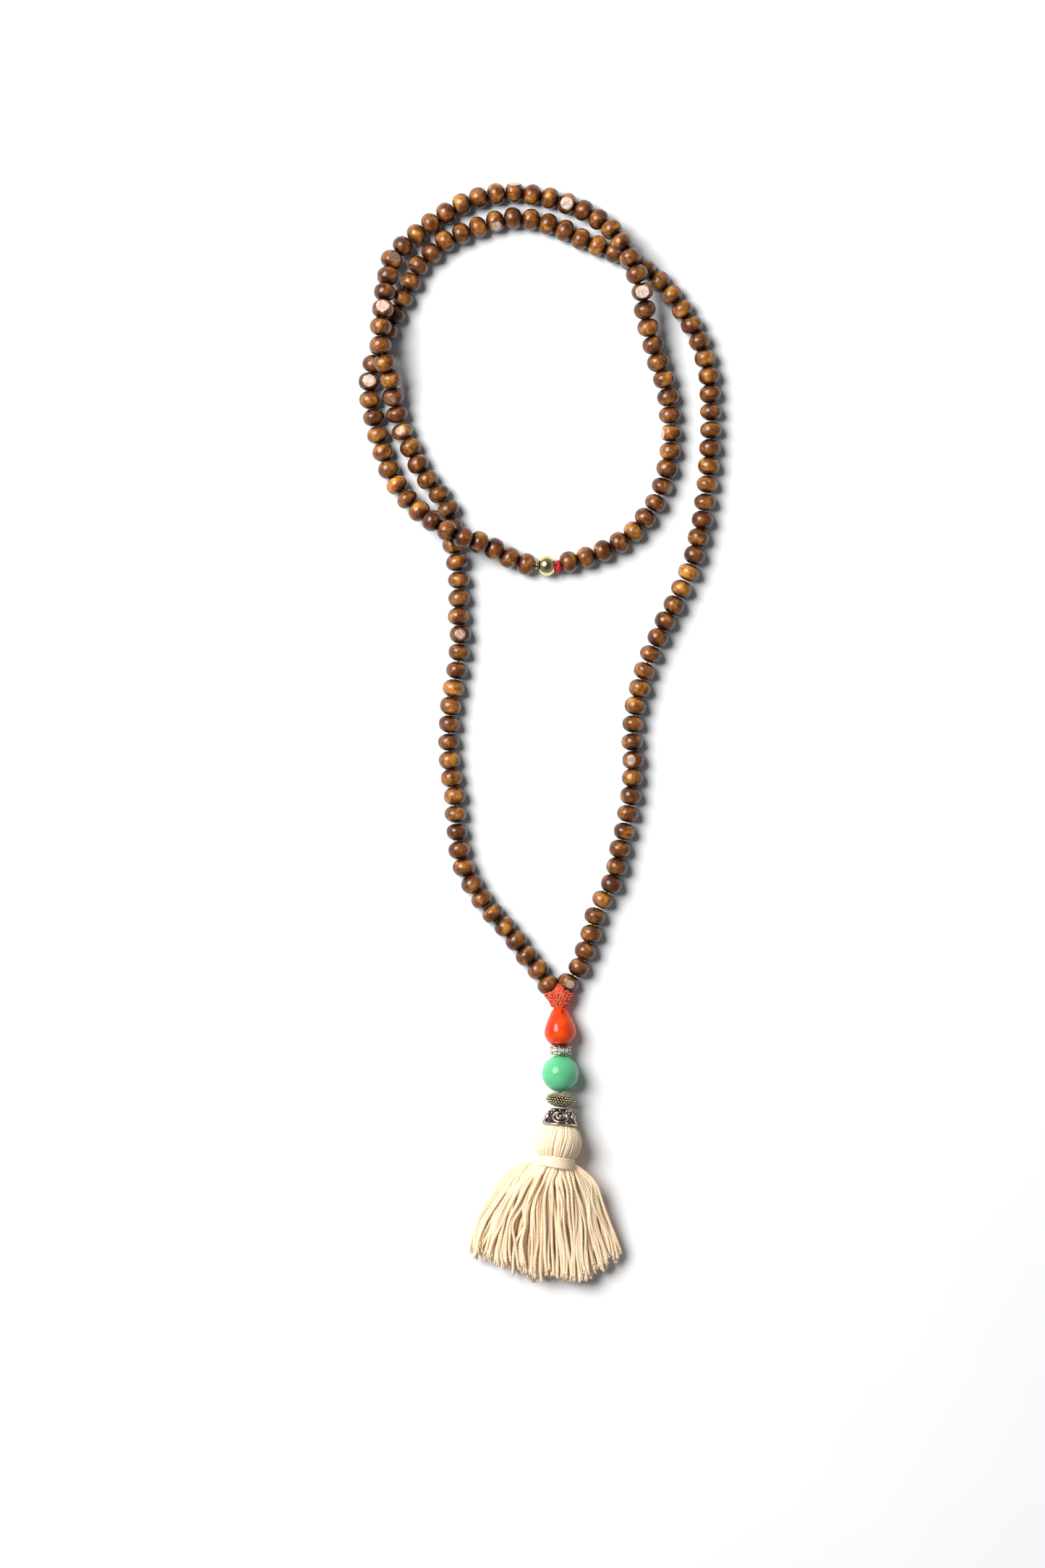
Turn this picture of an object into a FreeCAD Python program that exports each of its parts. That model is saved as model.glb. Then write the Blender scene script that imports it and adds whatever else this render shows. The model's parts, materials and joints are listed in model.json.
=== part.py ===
import FreeCAD, Part
import math
import os

# Mala prayer beads: one closed strand of wooden beads laid down as a double loop, with a
# pendant and a cotton tassel. The strand lies on the plane z = 0, +X to the right, +Y away
# from the tassel, and the origin is under the middle of the whole object. Millimetres.

SIZES = [
    ("bead_width", 8.1), ("bead_length", 6.45), ("bead_end_width", 3.2), ("bead_bore", 2.0),
    ("bead_pitch", 6.887), ("first_bead_at", 4.2), ("fold_relief", 0.42),
    ("facet_depth", 0.75), ("cord_width", 1.0), ("cord_break", 0.5), ("cord_end_gap", 0.8),
    ("marker_knot_width", 5.7), ("marker_knot_length", 1.5), ("marker_bore", 1.2),
    ("knot_round", 0.6), ("gold_bead_width", 8.0), ("gold_bead_length", 6.8),
    ("crimp_width", 2.8), ("crimp_length", 0.8),
    ("pendant_bore", 2.0), ("pendant_gap", 0.3),
    ("star_knot_span", 10.4), ("star_knot_thickness", 4.6),
    ("drop_width", 12.2), ("drop_length", 14.6), ("drop_tip_width", 4.6),
    ("drop_shoulder_width", 11.04), ("drop_shoulder_height", 2.25), ("drop_base_trim", 0.35),
    ("rondelle_width", 8.4), ("rondelle_length", 3.2), ("rondelle_hub", 4.2),
    ("rondelle_flange", 0.6), ("stone_width", 1.9), ("stone_circle", 6.3), ("stone_count", 8),
    ("rondelle_gap", 0.1), ("green_bead_width", 14.0), ("green_bead_gap", 0.2),
    ("bicone_width", 11.6), ("bicone_length", 5.6), ("bicone_end_width", 4.0),
    ("bicone_band", 0.8), ("bicone_bore", 2.4), ("bicone_tilt", 8.0),
    ("cap_top_width", 7.6), ("cap_lip_width", 13.4), ("cap_rim_width", 13.7),
    ("cap_height", 6.9), ("cap_wall", 0.5), ("cap_inner_rim_width", 12.6),
    ("cap_rim_thickness", 0.9),
    ("sway_gap", 0.5), ("head_below_cap", 6.7), ("neck_below_head", 5.4),
    ("tassel_head_width", 18.2), ("tassel_head_length", 16.4), ("tassel_core_width", 12.0),
    ("core_clearance", 0.05), ("head_bore", 3.6), ("head_flat", 5.2), ("neck_start", 5.0),
    ("neck_length", 4.6), ("end_knot_width", 3.4), ("end_knot_gap", 0.5),
    ("neck_width", 11.2), ("binding_width", 14.2), ("binding_bore", 11.3),
    ("binding_length", 4.2), ("skirt_length", 44.5), ("skirt_inset", 0.6),
]

doc = FreeCAD.newDocument("mala_prayer_beads")
sheet = doc.addObject("Spreadsheet::Sheet", "Sizes")
for row, (alias, value) in enumerate(SIZES, 1):
    sheet.set(f"A{row}", alias)
    sheet.set(f"B{row}", str(value))
    sheet.setAlias(f"B{row}", alias)
doc.recompute()

nodes = []
Z_AXIS = FreeCAD.Vector(0, 0, 1)


def size(alias):
    return float(sheet.get(alias))


def primitive(kind, name, **expressions):
    """A Part primitive whose properties follow expressions on the sheet."""
    item = doc.addObject(kind, name)
    for prop, expression in expressions.items():
        item.setExpression(prop, expression)
    return item


def lift(item, expression):
    """Raise an item along its own axis by an expression on the sheet."""
    item.setExpression("Placement.Base.z", expression)
    return item


def fuse(name, items):
    joined = doc.addObject("Part::MultiFuse", name)
    joined.Shapes = items
    return joined


def cut(name, base, tool):
    result = doc.addObject("Part::Cut", name)
    result.Base = base
    result.Tool = tool
    return result


def publish(item, label, placement=None):
    """Name a finished sub-part, put it in its place and list it for export."""
    item.Label = label
    if placement is not None:
        item.Placement = placement
    nodes.append(item)
    return item


def publish_shape(label, shape):
    item = doc.addObject("Part::Feature", "Shape_" + label)
    item.Shape = shape
    return publish(item, label)


# ---------------------------------------------------------------- the strand's route
# Points of the stringing cord from the star knot, up the left side, once round as the
# first turn, through the gold bead, round again as the second turn and back to the knot.
# Each is x, y and the lift above the height at which a bead rests on the surface.
STRAND_ROUTE = [
    # left side, from the star knot up to the crossing at the foot of the upper loop
    (5.0, -99.0, 0), (0.5, -93.5, 0), (-7.0, -82.0, 0), (-18.0, -69.5, 0),
    (-28.0, -56.5, 0), (-32.5, -39.5, 0), (-33.0, -23.5, 0), (-36.0, -5.0, 0),
    (-34.0, 15.0, 0), (-31.0, 31.5, 0), (-31.5, 48.0, 0), (-31.5, 61.5, 0),
    (-34.0, 74.0, 0),
    # first turn: up the left, over the second turn, round the top, over it again
    (-34.5, 85.5, 0), (-43.0, 96.0, 0), (-51.0, 109.0, 0), (-56.0, 123.5, 1.0),
    (-57.5, 136.0, 5.6), (-61.5, 145.5, 8.7), (-60.5, 158.0, 8.7), (-59.5, 170.5, 5.0),
    (-57.5, 180.0, 1.2), (-49.5, 188.5, 0), (-38.0, 197.5, 0), (-23.0, 205.0, 0),
    (-6.0, 206.5, 0), (10.0, 202.0, 0), (23.0, 196.0, 1.8), (30.5, 186.0, 7.6),
    (36.0, 175.5, 8.9), (39.0, 162.0, 6.6), (41.0, 150.0, 3.6), (47.0, 134.5, 1.0),
    (49.5, 117.0, 0), (48.5, 101.0, 0), (42.5, 84.5, 0), (32.0, 73.5, 0),
    (17.5, 67.0, 0), (4.5, 63.5, 0),
    # second turn: from the gold bead over the left side, up, round the top and down
    (-8.5, 64.5, 0), (-20.0, 72.0, 2.6), (-29.5, 73.5, 8.5), (-38.5, 78.0, 8.7),
    (-49.0, 86.0, 2.8), (-57.5, 97.5, 0), (-62.0, 111.5, 0), (-65.0, 125.0, 0),
    (-66.0, 137.5, 0), (-60.5, 150.0, 0), (-54.0, 163.5, 0), (-48.5, 176.0, 0),
    (-38.0, 187.5, 0), (-24.5, 193.0, 0), (-9.5, 197.5, 0), (4.5, 194.0, 0),
    (17.5, 186.5, 0), (33.0, 181.5, 0), (45.0, 172.5, 0), (54.5, 160.5, 0),
    (62.0, 146.5, 0), (64.5, 129.0, 0), (64.5, 110.0, 0), (63.0, 93.5, 0),
    (60.5, 76.5, 0),
    # right side, back down to the star knot
    (56.5, 61.0, 0), (46.0, 41.0, 0), (37.5, 20.5, 0), (34.0, 1.0, 0),
    (35.5, -17.0, 0), (31.5, -37.5, 0), (27.5, -56.0, 0), (20.0, -68.5, 0),
    (17.5, -83.0, 0), (11.0, -93.5, 0), (8.0, -98.5, 0),
]
ARC_SHARE = 0.45


def route_edges(points):
    """Straight runs joined by tangent arcs, each as large as its two runs allow."""
    edges = []
    radii = []
    start = points[0]
    for before, corner, after in zip(points, points[1:], points[2:]):
        arriving = corner - before
        leaving = after - corner
        half_turn = arriving.getAngle(leaving) / 2
        reach = ARC_SHARE * min(arriving.Length, leaving.Length)
        radius = reach / math.tan(half_turn)
        radii.append(radius)
        first = corner - arriving.normalize() * reach
        last = corner + leaving.normalize() * reach
        inward = ((first + last) * 0.5 - corner).normalize()
        middle = corner + inward * (radius / math.cos(half_turn) - radius)
        edges.append(Part.LineSegment(start, first).toShape())
        edges.append(Part.Arc(first, middle, last).toShape())
        start = last
    edges.append(Part.LineSegment(start, points[-1]).toShape())
    print("strand arc radii, mm:", " ".join(f"{radius:.0f}" for radius in radii))
    return edges


def parameter_at(edge, along):
    if along >= edge.Length - 1e-6:
        return edge.LastParameter
    return edge.getParameterByLength(max(along, 0.0))


class Route:
    """The cord's centreline, read by the length along it."""

    def __init__(self, points):
        self.edges = route_edges(points)
        self.starts = [0.0]
        for edge in self.edges:
            self.starts.append(self.starts[-1] + edge.Length)
        self.length = self.starts[-1]

    def find(self, along):
        along = min(max(along, 0.0), self.length)
        index = max(i for i, start in enumerate(self.starts[:-1]) if start <= along)
        edge = self.edges[index]
        return edge, parameter_at(edge, along - self.starts[index])

    def point(self, along):
        edge, parameter = self.find(along)
        return edge.valueAt(parameter)

    def direction(self, along):
        edge, parameter = self.find(along)
        return edge.tangentAt(parameter)

    def stretch(self, start, end):
        pieces = []
        for edge, edge_start in zip(self.edges, self.starts):
            low = max(start, edge_start) - edge_start
            high = min(end, edge_start + edge.Length) - edge_start
            if high - low > 1e-4:
                pieces.append(edge.Curve.toShape(parameter_at(edge, low), parameter_at(edge, high)))
        return Part.Wire(pieces)


rest_height = size("bead_width") / 2
strand = Route([FreeCAD.Vector(x, y, rest_height + up) for x, y, up in STRAND_ROUTE])
print(f"strand length {strand.length:.1f} mm")


def along_strand(centre):
    """Placement at a length along the strand: local Z along the cord, local X upward."""
    forward = strand.direction(centre)
    upward = (Z_AXIS - forward * Z_AXIS.dot(forward)).normalize()
    turn = FreeCAD.Rotation(upward, forward.cross(upward), forward, "ZXY")
    return FreeCAD.Placement(strand.point(centre), turn)


# ---------------------------------------------------------------- where the strand folds
# The strand is divided at seven lines across it. Every bead belongs to the section of the
# strand that its centre lies in.
FOLD_LINES = [117.0, 89.5, 59.0, 27.5, 0.0, -34.0, -66.0]
SECTIONS = ["crown", "shoulder", "crossing", "lower1", "lower2", "lower3", "lower4", "lower5"]
# The runs of the strand in the order in which it passes through the sections.
RUNS = [
    "lower5_left", "lower4_left", "lower3_left", "lower2_left", "lower1_left",
    "crossing_left", "shoulder_first_left", "crown_first", "shoulder_first_right",
    "crossing_middle", "shoulder_second_left", "crown_second", "shoulder_second_right",
    "crossing_right", "lower1_right", "lower2_right", "lower3_right", "lower4_right",
    "lower5_right",
]


def section_of(point):
    return SECTIONS[sum(1 for line in FOLD_LINES if point.y < line)]


# Beads with a ground flat, by their number along the strand, and how far round the cord
# from straight up, in degrees, each flat faces.
FACETED_BEADS = {
    21: 0, 33: 10, 35: -15, 40: 0, 43: 25, 51: -70, 54: 0, 61: 10, 69: 80, 72: -60,
    95: 0, 107: 40, 145: 15, 158: 0,
}
# The beads differ in width by up to twice this share, in steps that don't repeat.
WIDTH_RIPPLE = 0.02
RIPPLE_STEP = 2.3
BEADS_BEFORE_MARKER = 80


def bead_shape(number, width, length):
    """A barrel bead round Z with a bore and, on some, a ground flat."""
    bore = size("bead_bore") / 2
    end = size("bead_end_width") / 2
    half = length / 2
    corners = [FreeCAD.Vector(x, 0, z) for x, z in
               [(bore, -half), (end, -half), (width / 2, 0), (end, half), (bore, half)]]
    bore_low, end_low, waist, end_high, bore_high = corners
    outline = Part.Wire([
        Part.LineSegment(bore_low, end_low).toShape(),
        Part.Arc(end_low, waist, end_high).toShape(),
        Part.LineSegment(end_high, bore_high).toShape(),
        Part.LineSegment(bore_high, bore_low).toShape(),
    ])
    bead = Part.Face(outline).revolve(FreeCAD.Vector(), Z_AXIS, 360)
    if number in FACETED_BEADS:
        face_at = width / 2 - size("facet_depth")
        block = Part.makeBox(width, 2 * width, 2 * width, FreeCAD.Vector(face_at, -width, -width))
        block.rotate(FreeCAD.Vector(), Z_AXIS, FACETED_BEADS[number])
        bead = bead.cut(block)
    return bead


# The marker knot and the gold bead take the place of two beads, and the strand's spacing
# is spread over the whole route so that both ends meet the star knot.
pitch = size("bead_pitch")
touch = pitch - size("bead_length")
last_of_first_turn = size("first_bead_at") + (BEADS_BEFORE_MARKER - 1) * pitch
marker_at = last_of_first_turn + (size("bead_length") + size("marker_knot_length") + touch) / 2
gold_at = marker_at + (size("marker_knot_length") + size("gold_bead_length") + touch) / 2
crimp_at = gold_at + (size("gold_bead_length") + size("crimp_length") + touch) / 2
second_turn_from = crimp_at + (size("crimp_length") + size("bead_length") + touch) / 2
second_turn_length = strand.length - size("first_bead_at") - second_turn_from
spaces = round(second_turn_length / pitch)
second_pitch = second_turn_length / spaces

centres = [size("first_bead_at") + number * pitch for number in range(BEADS_BEFORE_MARKER)]
centres += [second_turn_from + number * second_pitch for number in range(spaces + 1)]
print(f"{len(centres)} wooden beads, pitch {pitch:.2f} and {second_pitch:.2f} mm")

# Walk along the strand and start a new run where the next bead lies across a fold line.
runs = [[0]]
for number in range(1, len(centres)):
    here = section_of(strand.point(centres[number]))
    before = section_of(strand.point(centres[number - 1]))
    if here != before:
        runs.append([])
    runs[-1].append(number)
assert len(runs) == len(RUNS), "the fold lines cut the strand into other runs than expected"

cord_ratio = []
for run_name, members in zip(RUNS, runs):
    beads = []
    for number in members:
        next_to_fold = number in (members[0], members[-1]) and number not in (0, len(centres) - 1)
        length = size("bead_length") - (size("fold_relief") if next_to_fold else 0)
        slimmer = WIDTH_RIPPLE * (1 - math.sin(RIPPLE_STEP * number))
        width = size("bead_width") * (1 - slimmer)
        bead = bead_shape(number, width, length)
        bead.Placement = along_strand(centres[number])
        beads.append(bead)
    assert run_name.startswith(section_of(strand.point(centres[members[0]])))
    publish_shape("beads_" + run_name, Part.makeCompound(beads))

    start = centres[members[0]] - pitch / 2 + size("cord_break") / 2
    end = centres[members[-1]] + pitch / 2 - size("cord_break") / 2
    if members[0] == 0:
        start = size("cord_end_gap")
    if members[-1] == len(centres) - 1:
        end = strand.length - size("cord_end_gap")
    path = strand.stretch(start, end)
    radius = size("cord_width") / 2
    ring = Part.Circle(strand.point(start), strand.direction(start), radius).toShape()
    tube = path.makePipeShell([Part.Wire(ring)], True, False)
    cord_ratio.append(tube.Volume / (math.pi * radius ** 2 * (end - start)))
    publish_shape("cord_" + run_name, tube)
print(f"cord volume to section times length: {min(cord_ratio):.4f} to {max(cord_ratio):.4f}")

# ---------------------------------------------------------------- pieces on the strand
marker = primitive("Part::Cylinder", "MarkerBlank", Radius="Sizes.marker_knot_width / 2",
                   Height="Sizes.marker_knot_length")
marker_round = doc.addObject("Part::Fillet", "MarkerRound")
marker_round.Base = marker
doc.recompute()
# The blank's first and third edges are the circles round its two ends.
marker_round.Edges = [(edge, size("knot_round"), size("knot_round")) for edge in (1, 3)]
marker_bore = primitive("Part::Cylinder", "MarkerBore", Radius="Sizes.marker_bore / 2",
                        Height="Sizes.marker_knot_length")
centred = FreeCAD.Vector(0, 0, -size("marker_knot_length") / 2)
publish(cut("MarkerKnot", marker_round, marker_bore), "marker_knot",
        along_strand(marker_at) * FreeCAD.Placement(centred, FreeCAD.Rotation()))

gold = primitive("Part::Ellipsoid", "GoldBlank", Radius1="Sizes.gold_bead_length / 2",
                 Radius2="Sizes.gold_bead_width / 2", Radius3="Sizes.gold_bead_width / 2")
gold_bore = primitive("Part::Cylinder", "GoldBore", Radius="Sizes.bead_bore / 2",
                      Height="Sizes.gold_bead_length * 2")
lift(gold_bore, "-Sizes.gold_bead_length")
publish(cut("GoldBead", gold, gold_bore), "gold_bead", along_strand(gold_at))

crimp = primitive("Part::Torus", "Crimp", Radius1="Sizes.crimp_width / 2 - Sizes.crimp_length / 2",
                  Radius2="Sizes.crimp_length / 2")
publish(crimp, "gold_crimp", along_strand(crimp_at))

# ---------------------------------------------------------------- the pendant's two axes
# The pendant hangs from the star knot towards the tassel and rises gently, because each
# piece along it is thicker than the one before and all of them rest on the surface. From
# the bead cap on, the tassel lies a few degrees to the left of that line.
PENDANT_TOP = FreeCAD.Vector(6.9, -103.9, 5.6)
PENDANT_FOOT = FreeCAD.Vector(7.15, -142.8, 8.3)
TASSEL_FOOT = FreeCAD.Vector(5.45, -165.0, 9.8)
pendant_way = (PENDANT_FOOT - PENDANT_TOP).normalize()


def along_line(start, way, distance, tilt=0.0):
    """Placement on a line: local Z along it, local X upward, leaning about local X."""
    upward = (Z_AXIS - way * Z_AXIS.dot(way)).normalize()
    turn = FreeCAD.Rotation(upward, way.cross(upward), way, "ZXY")
    lean = FreeCAD.Rotation(FreeCAD.Vector(1, 0, 0), tilt)
    return FreeCAD.Placement(start + way * distance, turn * lean)


def on_pendant(distance, tilt=0.0):
    return along_line(PENDANT_TOP, pendant_way, distance, tilt)


gap = size("pendant_gap")
drop_from = gap
rondelle_from = drop_from + size("drop_length") + gap
green_from = rondelle_from + size("rondelle_length") + size("rondelle_gap")
green_centre = green_from + size("green_bead_width") / 2
bicone_from = green_centre + size("green_bead_width") / 2 + size("green_bead_gap")
bicone_centre = bicone_from + size("bicone_length") / 2
cap_from = bicone_centre + size("bicone_length") / 2 + size("sway_gap")
head_centre = cap_from + size("cap_height") + size("head_below_cap")
binding_from = head_centre + size("neck_below_head")
skirt_from = binding_from + size("binding_length") + gap
print(f"pendant: cap at {cap_from:.1f}, head at {head_centre:.1f}, skirt at {skirt_from:.1f} mm")
tassel_top = PENDANT_TOP + pendant_way * cap_from
tassel_way = (TASSEL_FOOT - tassel_top).normalize()


def on_tassel(distance):
    """Placement at a distance from the star knot, measured on round the bend at the cap."""
    return along_line(tassel_top, tassel_way, distance - cap_from)



# ---------------------------------------------------------------- star knot
# A crocheted rosette with three points and a neck, padded from one sketch.
STAR_OUTLINE = [(0.0, 0.2), (0.16, -0.04), (0.5, -0.10), (0.3, -0.28), (0.26, -0.445),
                (-0.26, -0.445), (-0.3, -0.28), (-0.5, -0.10), (-0.16, -0.04)]
star_base = FreeCAD.Vector(6.7, -99.2, 5.8 - size("star_knot_thickness") / 2)
star_body = doc.addObject("PartDesign::Body", "StarKnotBody")
star_sketch = star_body.newObject("Sketcher::SketchObject", "StarKnotOutline")
xy_plane = [f for f in star_body.Origin.OriginFeatures if f.Role == "XY_Plane"][0]
star_sketch.AttachmentSupport = [(xy_plane, "")]
star_sketch.MapMode = "FlatFace"
star_span = size("star_knot_span")
star_points = [FreeCAD.Vector(x * star_span, y * star_span, 0) for x, y in STAR_OUTLINE]
for first, second in zip(star_points, star_points[1:] + star_points[:1]):
    star_sketch.addGeometry(Part.LineSegment(first, second), False)
star_pad = star_body.newObject("PartDesign::Pad", "StarKnotPad")
star_pad.Profile = star_sketch
star_pad.setExpression("Length", "Sizes.star_knot_thickness")
doc.recompute()
publish(star_body, "star_knot", FreeCAD.Placement(star_base, FreeCAD.Rotation()))

# ---------------------------------------------------------------- coral drop
drop_ball = lift(primitive("Part::Sphere", "DropBall", Radius="Sizes.drop_width / 2"),
                 "Sizes.drop_length - Sizes.drop_width / 2 + Sizes.drop_base_trim")
drop_neck = primitive("Part::Cone", "DropNeck", Radius1="Sizes.drop_tip_width / 2",
                      Radius2="Sizes.drop_shoulder_width / 2",
                      Height="Sizes.drop_length - Sizes.drop_width / 2"
                             " - Sizes.drop_shoulder_height")
drop_trim = primitive("Part::Cylinder", "DropTrim", Radius="Sizes.drop_width",
                      Height="Sizes.drop_length")
drop_bore = primitive("Part::Cylinder", "DropBore", Radius="Sizes.pendant_bore / 2",
                      Height="Sizes.drop_length")
drop_common = doc.addObject("Part::MultiCommon", "DropTrimmed")
drop_common.Shapes = [fuse("DropWhole", [drop_ball, drop_neck]), drop_trim]
publish(cut("CoralDrop", drop_common, drop_bore), "coral_drop", on_pendant(drop_from))

# ---------------------------------------------------------------- rhinestone rondelle
hub = primitive("Part::Cylinder", "RondelleHub", Radius="Sizes.rondelle_hub / 2",
                Height="Sizes.rondelle_length")
lower_flange = primitive("Part::Cylinder", "RondelleFlangeA", Radius="Sizes.rondelle_width / 2",
                         Height="Sizes.rondelle_flange")
upper_flange = primitive("Part::Cylinder", "RondelleFlangeB", Radius="Sizes.rondelle_width / 2",
                         Height="Sizes.rondelle_flange")
lift(upper_flange, "Sizes.rondelle_length - Sizes.rondelle_flange")
rondelle_bore = primitive("Part::Cylinder", "RondelleBore", Radius="Sizes.pendant_bore / 2",
                          Height="Sizes.rondelle_length")
rondelle = cut("Rondelle", fuse("RondelleWhole", [hub, lower_flange, upper_flange]),
               rondelle_bore)
publish(rondelle, "rondelle_ring", on_pendant(rondelle_from))

stones = []
for number in range(int(size("stone_count"))):
    turn = math.radians(360.0 / size("stone_count") * number)
    reach = size("stone_circle") / 2
    where = FreeCAD.Vector(reach * math.cos(turn), reach * math.sin(turn),
                           size("rondelle_length") / 2)
    stones.append(Part.makeSphere(size("stone_width") / 2, where))
stone_group = publish_shape("rondelle_stones", Part.makeCompound(stones))
stone_group.Placement = on_pendant(rondelle_from)

# ---------------------------------------------------------------- green bead and bicone
green = primitive("Part::Sphere", "GreenBall", Radius="Sizes.green_bead_width / 2")
green_bore = lift(primitive("Part::Cylinder", "GreenBore", Radius="Sizes.pendant_bore / 2",
                            Height="Sizes.green_bead_width * 2"), "-Sizes.green_bead_width")
publish(cut("GreenBead", green, green_bore), "green_bead", on_pendant(green_centre))

half_cone = "(Sizes.bicone_length - Sizes.bicone_band) / 2"
band = lift(primitive("Part::Cylinder", "BiconeBand", Radius="Sizes.bicone_width / 2",
                      Height="Sizes.bicone_band"), "-Sizes.bicone_band / 2")
front_cone = lift(primitive("Part::Cone", "BiconeFront", Radius1="Sizes.bicone_width / 2",
                            Radius2="Sizes.bicone_end_width / 2", Height=half_cone),
                  "Sizes.bicone_band / 2")
back_cone = lift(primitive("Part::Cone", "BiconeBack", Radius1="Sizes.bicone_end_width / 2",
                           Radius2="Sizes.bicone_width / 2", Height=half_cone),
                 "-Sizes.bicone_length / 2")
bicone_bore = lift(primitive("Part::Cylinder", "BiconeBore", Radius="Sizes.bicone_bore / 2",
                             Height="Sizes.bicone_length * 2"), "-Sizes.bicone_length")
publish(cut("Bicone", fuse("BiconeWhole", [band, front_cone, back_cone]), bicone_bore),
        "granulated_bicone", on_pendant(bicone_centre, -size("bicone_tilt")))

# ---------------------------------------------------------------- bead cap
cap_outer = primitive("Part::Cone", "CapOuter", Radius1="Sizes.cap_top_width / 2",
                      Radius2="Sizes.cap_lip_width / 2", Height="Sizes.cap_height")
cap_rim = lift(primitive("Part::Cylinder", "CapRim", Radius="Sizes.cap_rim_width / 2",
                         Height="Sizes.cap_rim_thickness"),
               "Sizes.cap_height - Sizes.cap_rim_thickness")
cap_inner = lift(primitive("Part::Cone", "CapInner",
                           Radius1="Sizes.cap_top_width / 2 - Sizes.cap_wall",
                           Radius2="Sizes.cap_inner_rim_width / 2",
                           Height="Sizes.cap_height"), "Sizes.cap_wall")
cap_bore = primitive("Part::Cylinder", "CapBore", Radius="Sizes.pendant_bore / 2",
                     Height="Sizes.cap_height")
publish(cut("BeadCap", fuse("CapWhole", [cap_outer, cap_rim]),
            fuse("CapHollow", [cap_inner, cap_bore])),
        "bead_cap", on_tassel(cap_from))

# ---------------------------------------------------------------- tassel head and binding
core_ball = primitive("Part::Sphere", "CoreBall", Radius="Sizes.tassel_core_width / 2")
core_bore = primitive("Part::Cylinder", "CoreBore", Radius="Sizes.pendant_bore / 2",
                      Height="Sizes.tassel_core_width * 2")
lift(core_bore, "-Sizes.tassel_core_width")
publish(cut("TasselCore", core_ball, core_bore), "tassel_core_ball", on_tassel(head_centre))

head_blank = primitive("Part::Ellipsoid", "HeadBlank", Radius1="Sizes.tassel_head_length / 2",
                       Radius2="Sizes.tassel_head_width / 2",
                       Radius3="Sizes.tassel_head_width / 2")
head_trim = lift(primitive("Part::Cylinder", "HeadTrim", Radius="Sizes.tassel_head_width",
                           Height="Sizes.tassel_head_length"),
                 "Sizes.head_flat - Sizes.tassel_head_length")
head_body = doc.addObject("Part::MultiCommon", "HeadTrimmed")
head_body.Shapes = [head_blank, head_trim]
neck = lift(primitive("Part::Cylinder", "Neck", Radius="Sizes.neck_width / 2",
                      Height="Sizes.neck_length"),
            "Sizes.neck_start")
head_hollow = primitive("Part::Sphere", "HeadHollow",
                        Radius="Sizes.tassel_core_width / 2 + Sizes.core_clearance")
head_bore = lift(primitive("Part::Cylinder", "HeadBore", Radius="Sizes.head_bore / 2",
                           Height="Sizes.tassel_head_length * 2"),
                 "-Sizes.tassel_head_length")
publish(cut("TasselHead", fuse("HeadWhole", [head_body, neck]),
            fuse("HeadSpace", [head_hollow, head_bore])),
        "tassel_head_yarn", on_tassel(head_centre))

binding_blank = primitive("Part::Cylinder", "BindingBlank", Radius="Sizes.binding_width / 2",
                          Height="Sizes.binding_length")
binding_round = doc.addObject("Part::Fillet", "BindingRound")
binding_round.Base = binding_blank
doc.recompute()
binding_round.Edges = [(edge, size("knot_round"), size("knot_round")) for edge in (1, 3)]
binding_bore = primitive("Part::Cylinder", "BindingBore", Radius="Sizes.binding_bore / 2",
                         Height="Sizes.binding_length")
publish(cut("NeckBinding", binding_round, binding_bore), "neck_binding",
        on_tassel(binding_from))

# ---------------------------------------------------------------- pendant cord
# The cord is in two lengths, because the tassel sways at the point above its cap.
CORD_TO_KNOT = 0.1  # between the cord's cut end and the knot that stands for its bulk
pendant_cord = primitive("Part::Cylinder", "PendantCord", Radius="Sizes.cord_width / 2")
pendant_cord.Height = cap_from - size("sway_gap")
publish(pendant_cord, "pendant_cord", on_pendant(0))
tassel_cord = primitive("Part::Cylinder", "TasselCord", Radius="Sizes.cord_width / 2")
core_end = head_centre + size("tassel_core_width") / 2
end_knot_from = core_end + size("end_knot_gap")
tassel_cord.Height = end_knot_from - CORD_TO_KNOT - cap_from
publish(tassel_cord, "tassel_cord", on_tassel(cap_from))
end_knot = primitive("Part::Sphere", "EndKnot", Radius="Sizes.end_knot_width / 2")
publish(end_knot, "pendant_end_knot",
        on_tassel(end_knot_from + size("end_knot_width") / 2))

# ---------------------------------------------------------------- tassel skirt
# The cut yarns fan out to the left and right and lie flat on the surface. Each section is
# the distance from the binding, half the width, half the thickness, and the middle's x and z.
SKIRT_SECTIONS = [
    (0.0, 6.8, 6.2, 5.5, 9.3), (2.0, 12.0, 7.2, 3.6, 8.9), (6.0, 16.8, 7.6, 2.4, 8.3),
    (12.0, 20.6, 7.4, 1.9, 7.6), (22.0, 25.2, 6.2, 0.5, 6.4), (32.0, 27.6, 5.3, 0.9, 5.4),
    (40.0, 24.0, 4.7, 3.2, 4.8), (44.5, 9.0, 4.2, 5.6, 4.4),
]
skirt_y = on_tassel(skirt_from + size("skirt_inset")).Base.y
skirt_scale = size("skirt_length") / SKIRT_SECTIONS[-1][0]
facing = FreeCAD.Rotation(FreeCAD.Vector(1, 0, 0), FreeCAD.Vector(0, 0, 1),
                          FreeCAD.Vector(0, -1, 0), "ZXY")
skirt_rings = []
for number, (down, half_width, half_thickness, middle_x, middle_z) in enumerate(SKIRT_SECTIONS):
    ring = doc.addObject("Part::Ellipse", f"SkirtSection{number}")
    ring.MajorRadius = half_width * skirt_scale
    ring.MinorRadius = half_thickness
    ring.Placement = FreeCAD.Placement(
        FreeCAD.Vector(middle_x, skirt_y - down * skirt_scale, middle_z), facing)
    skirt_rings.append(ring)
skirt = doc.addObject("Part::Loft", "SkirtLoft")
skirt.Sections = skirt_rings
skirt.Solid = True
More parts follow.
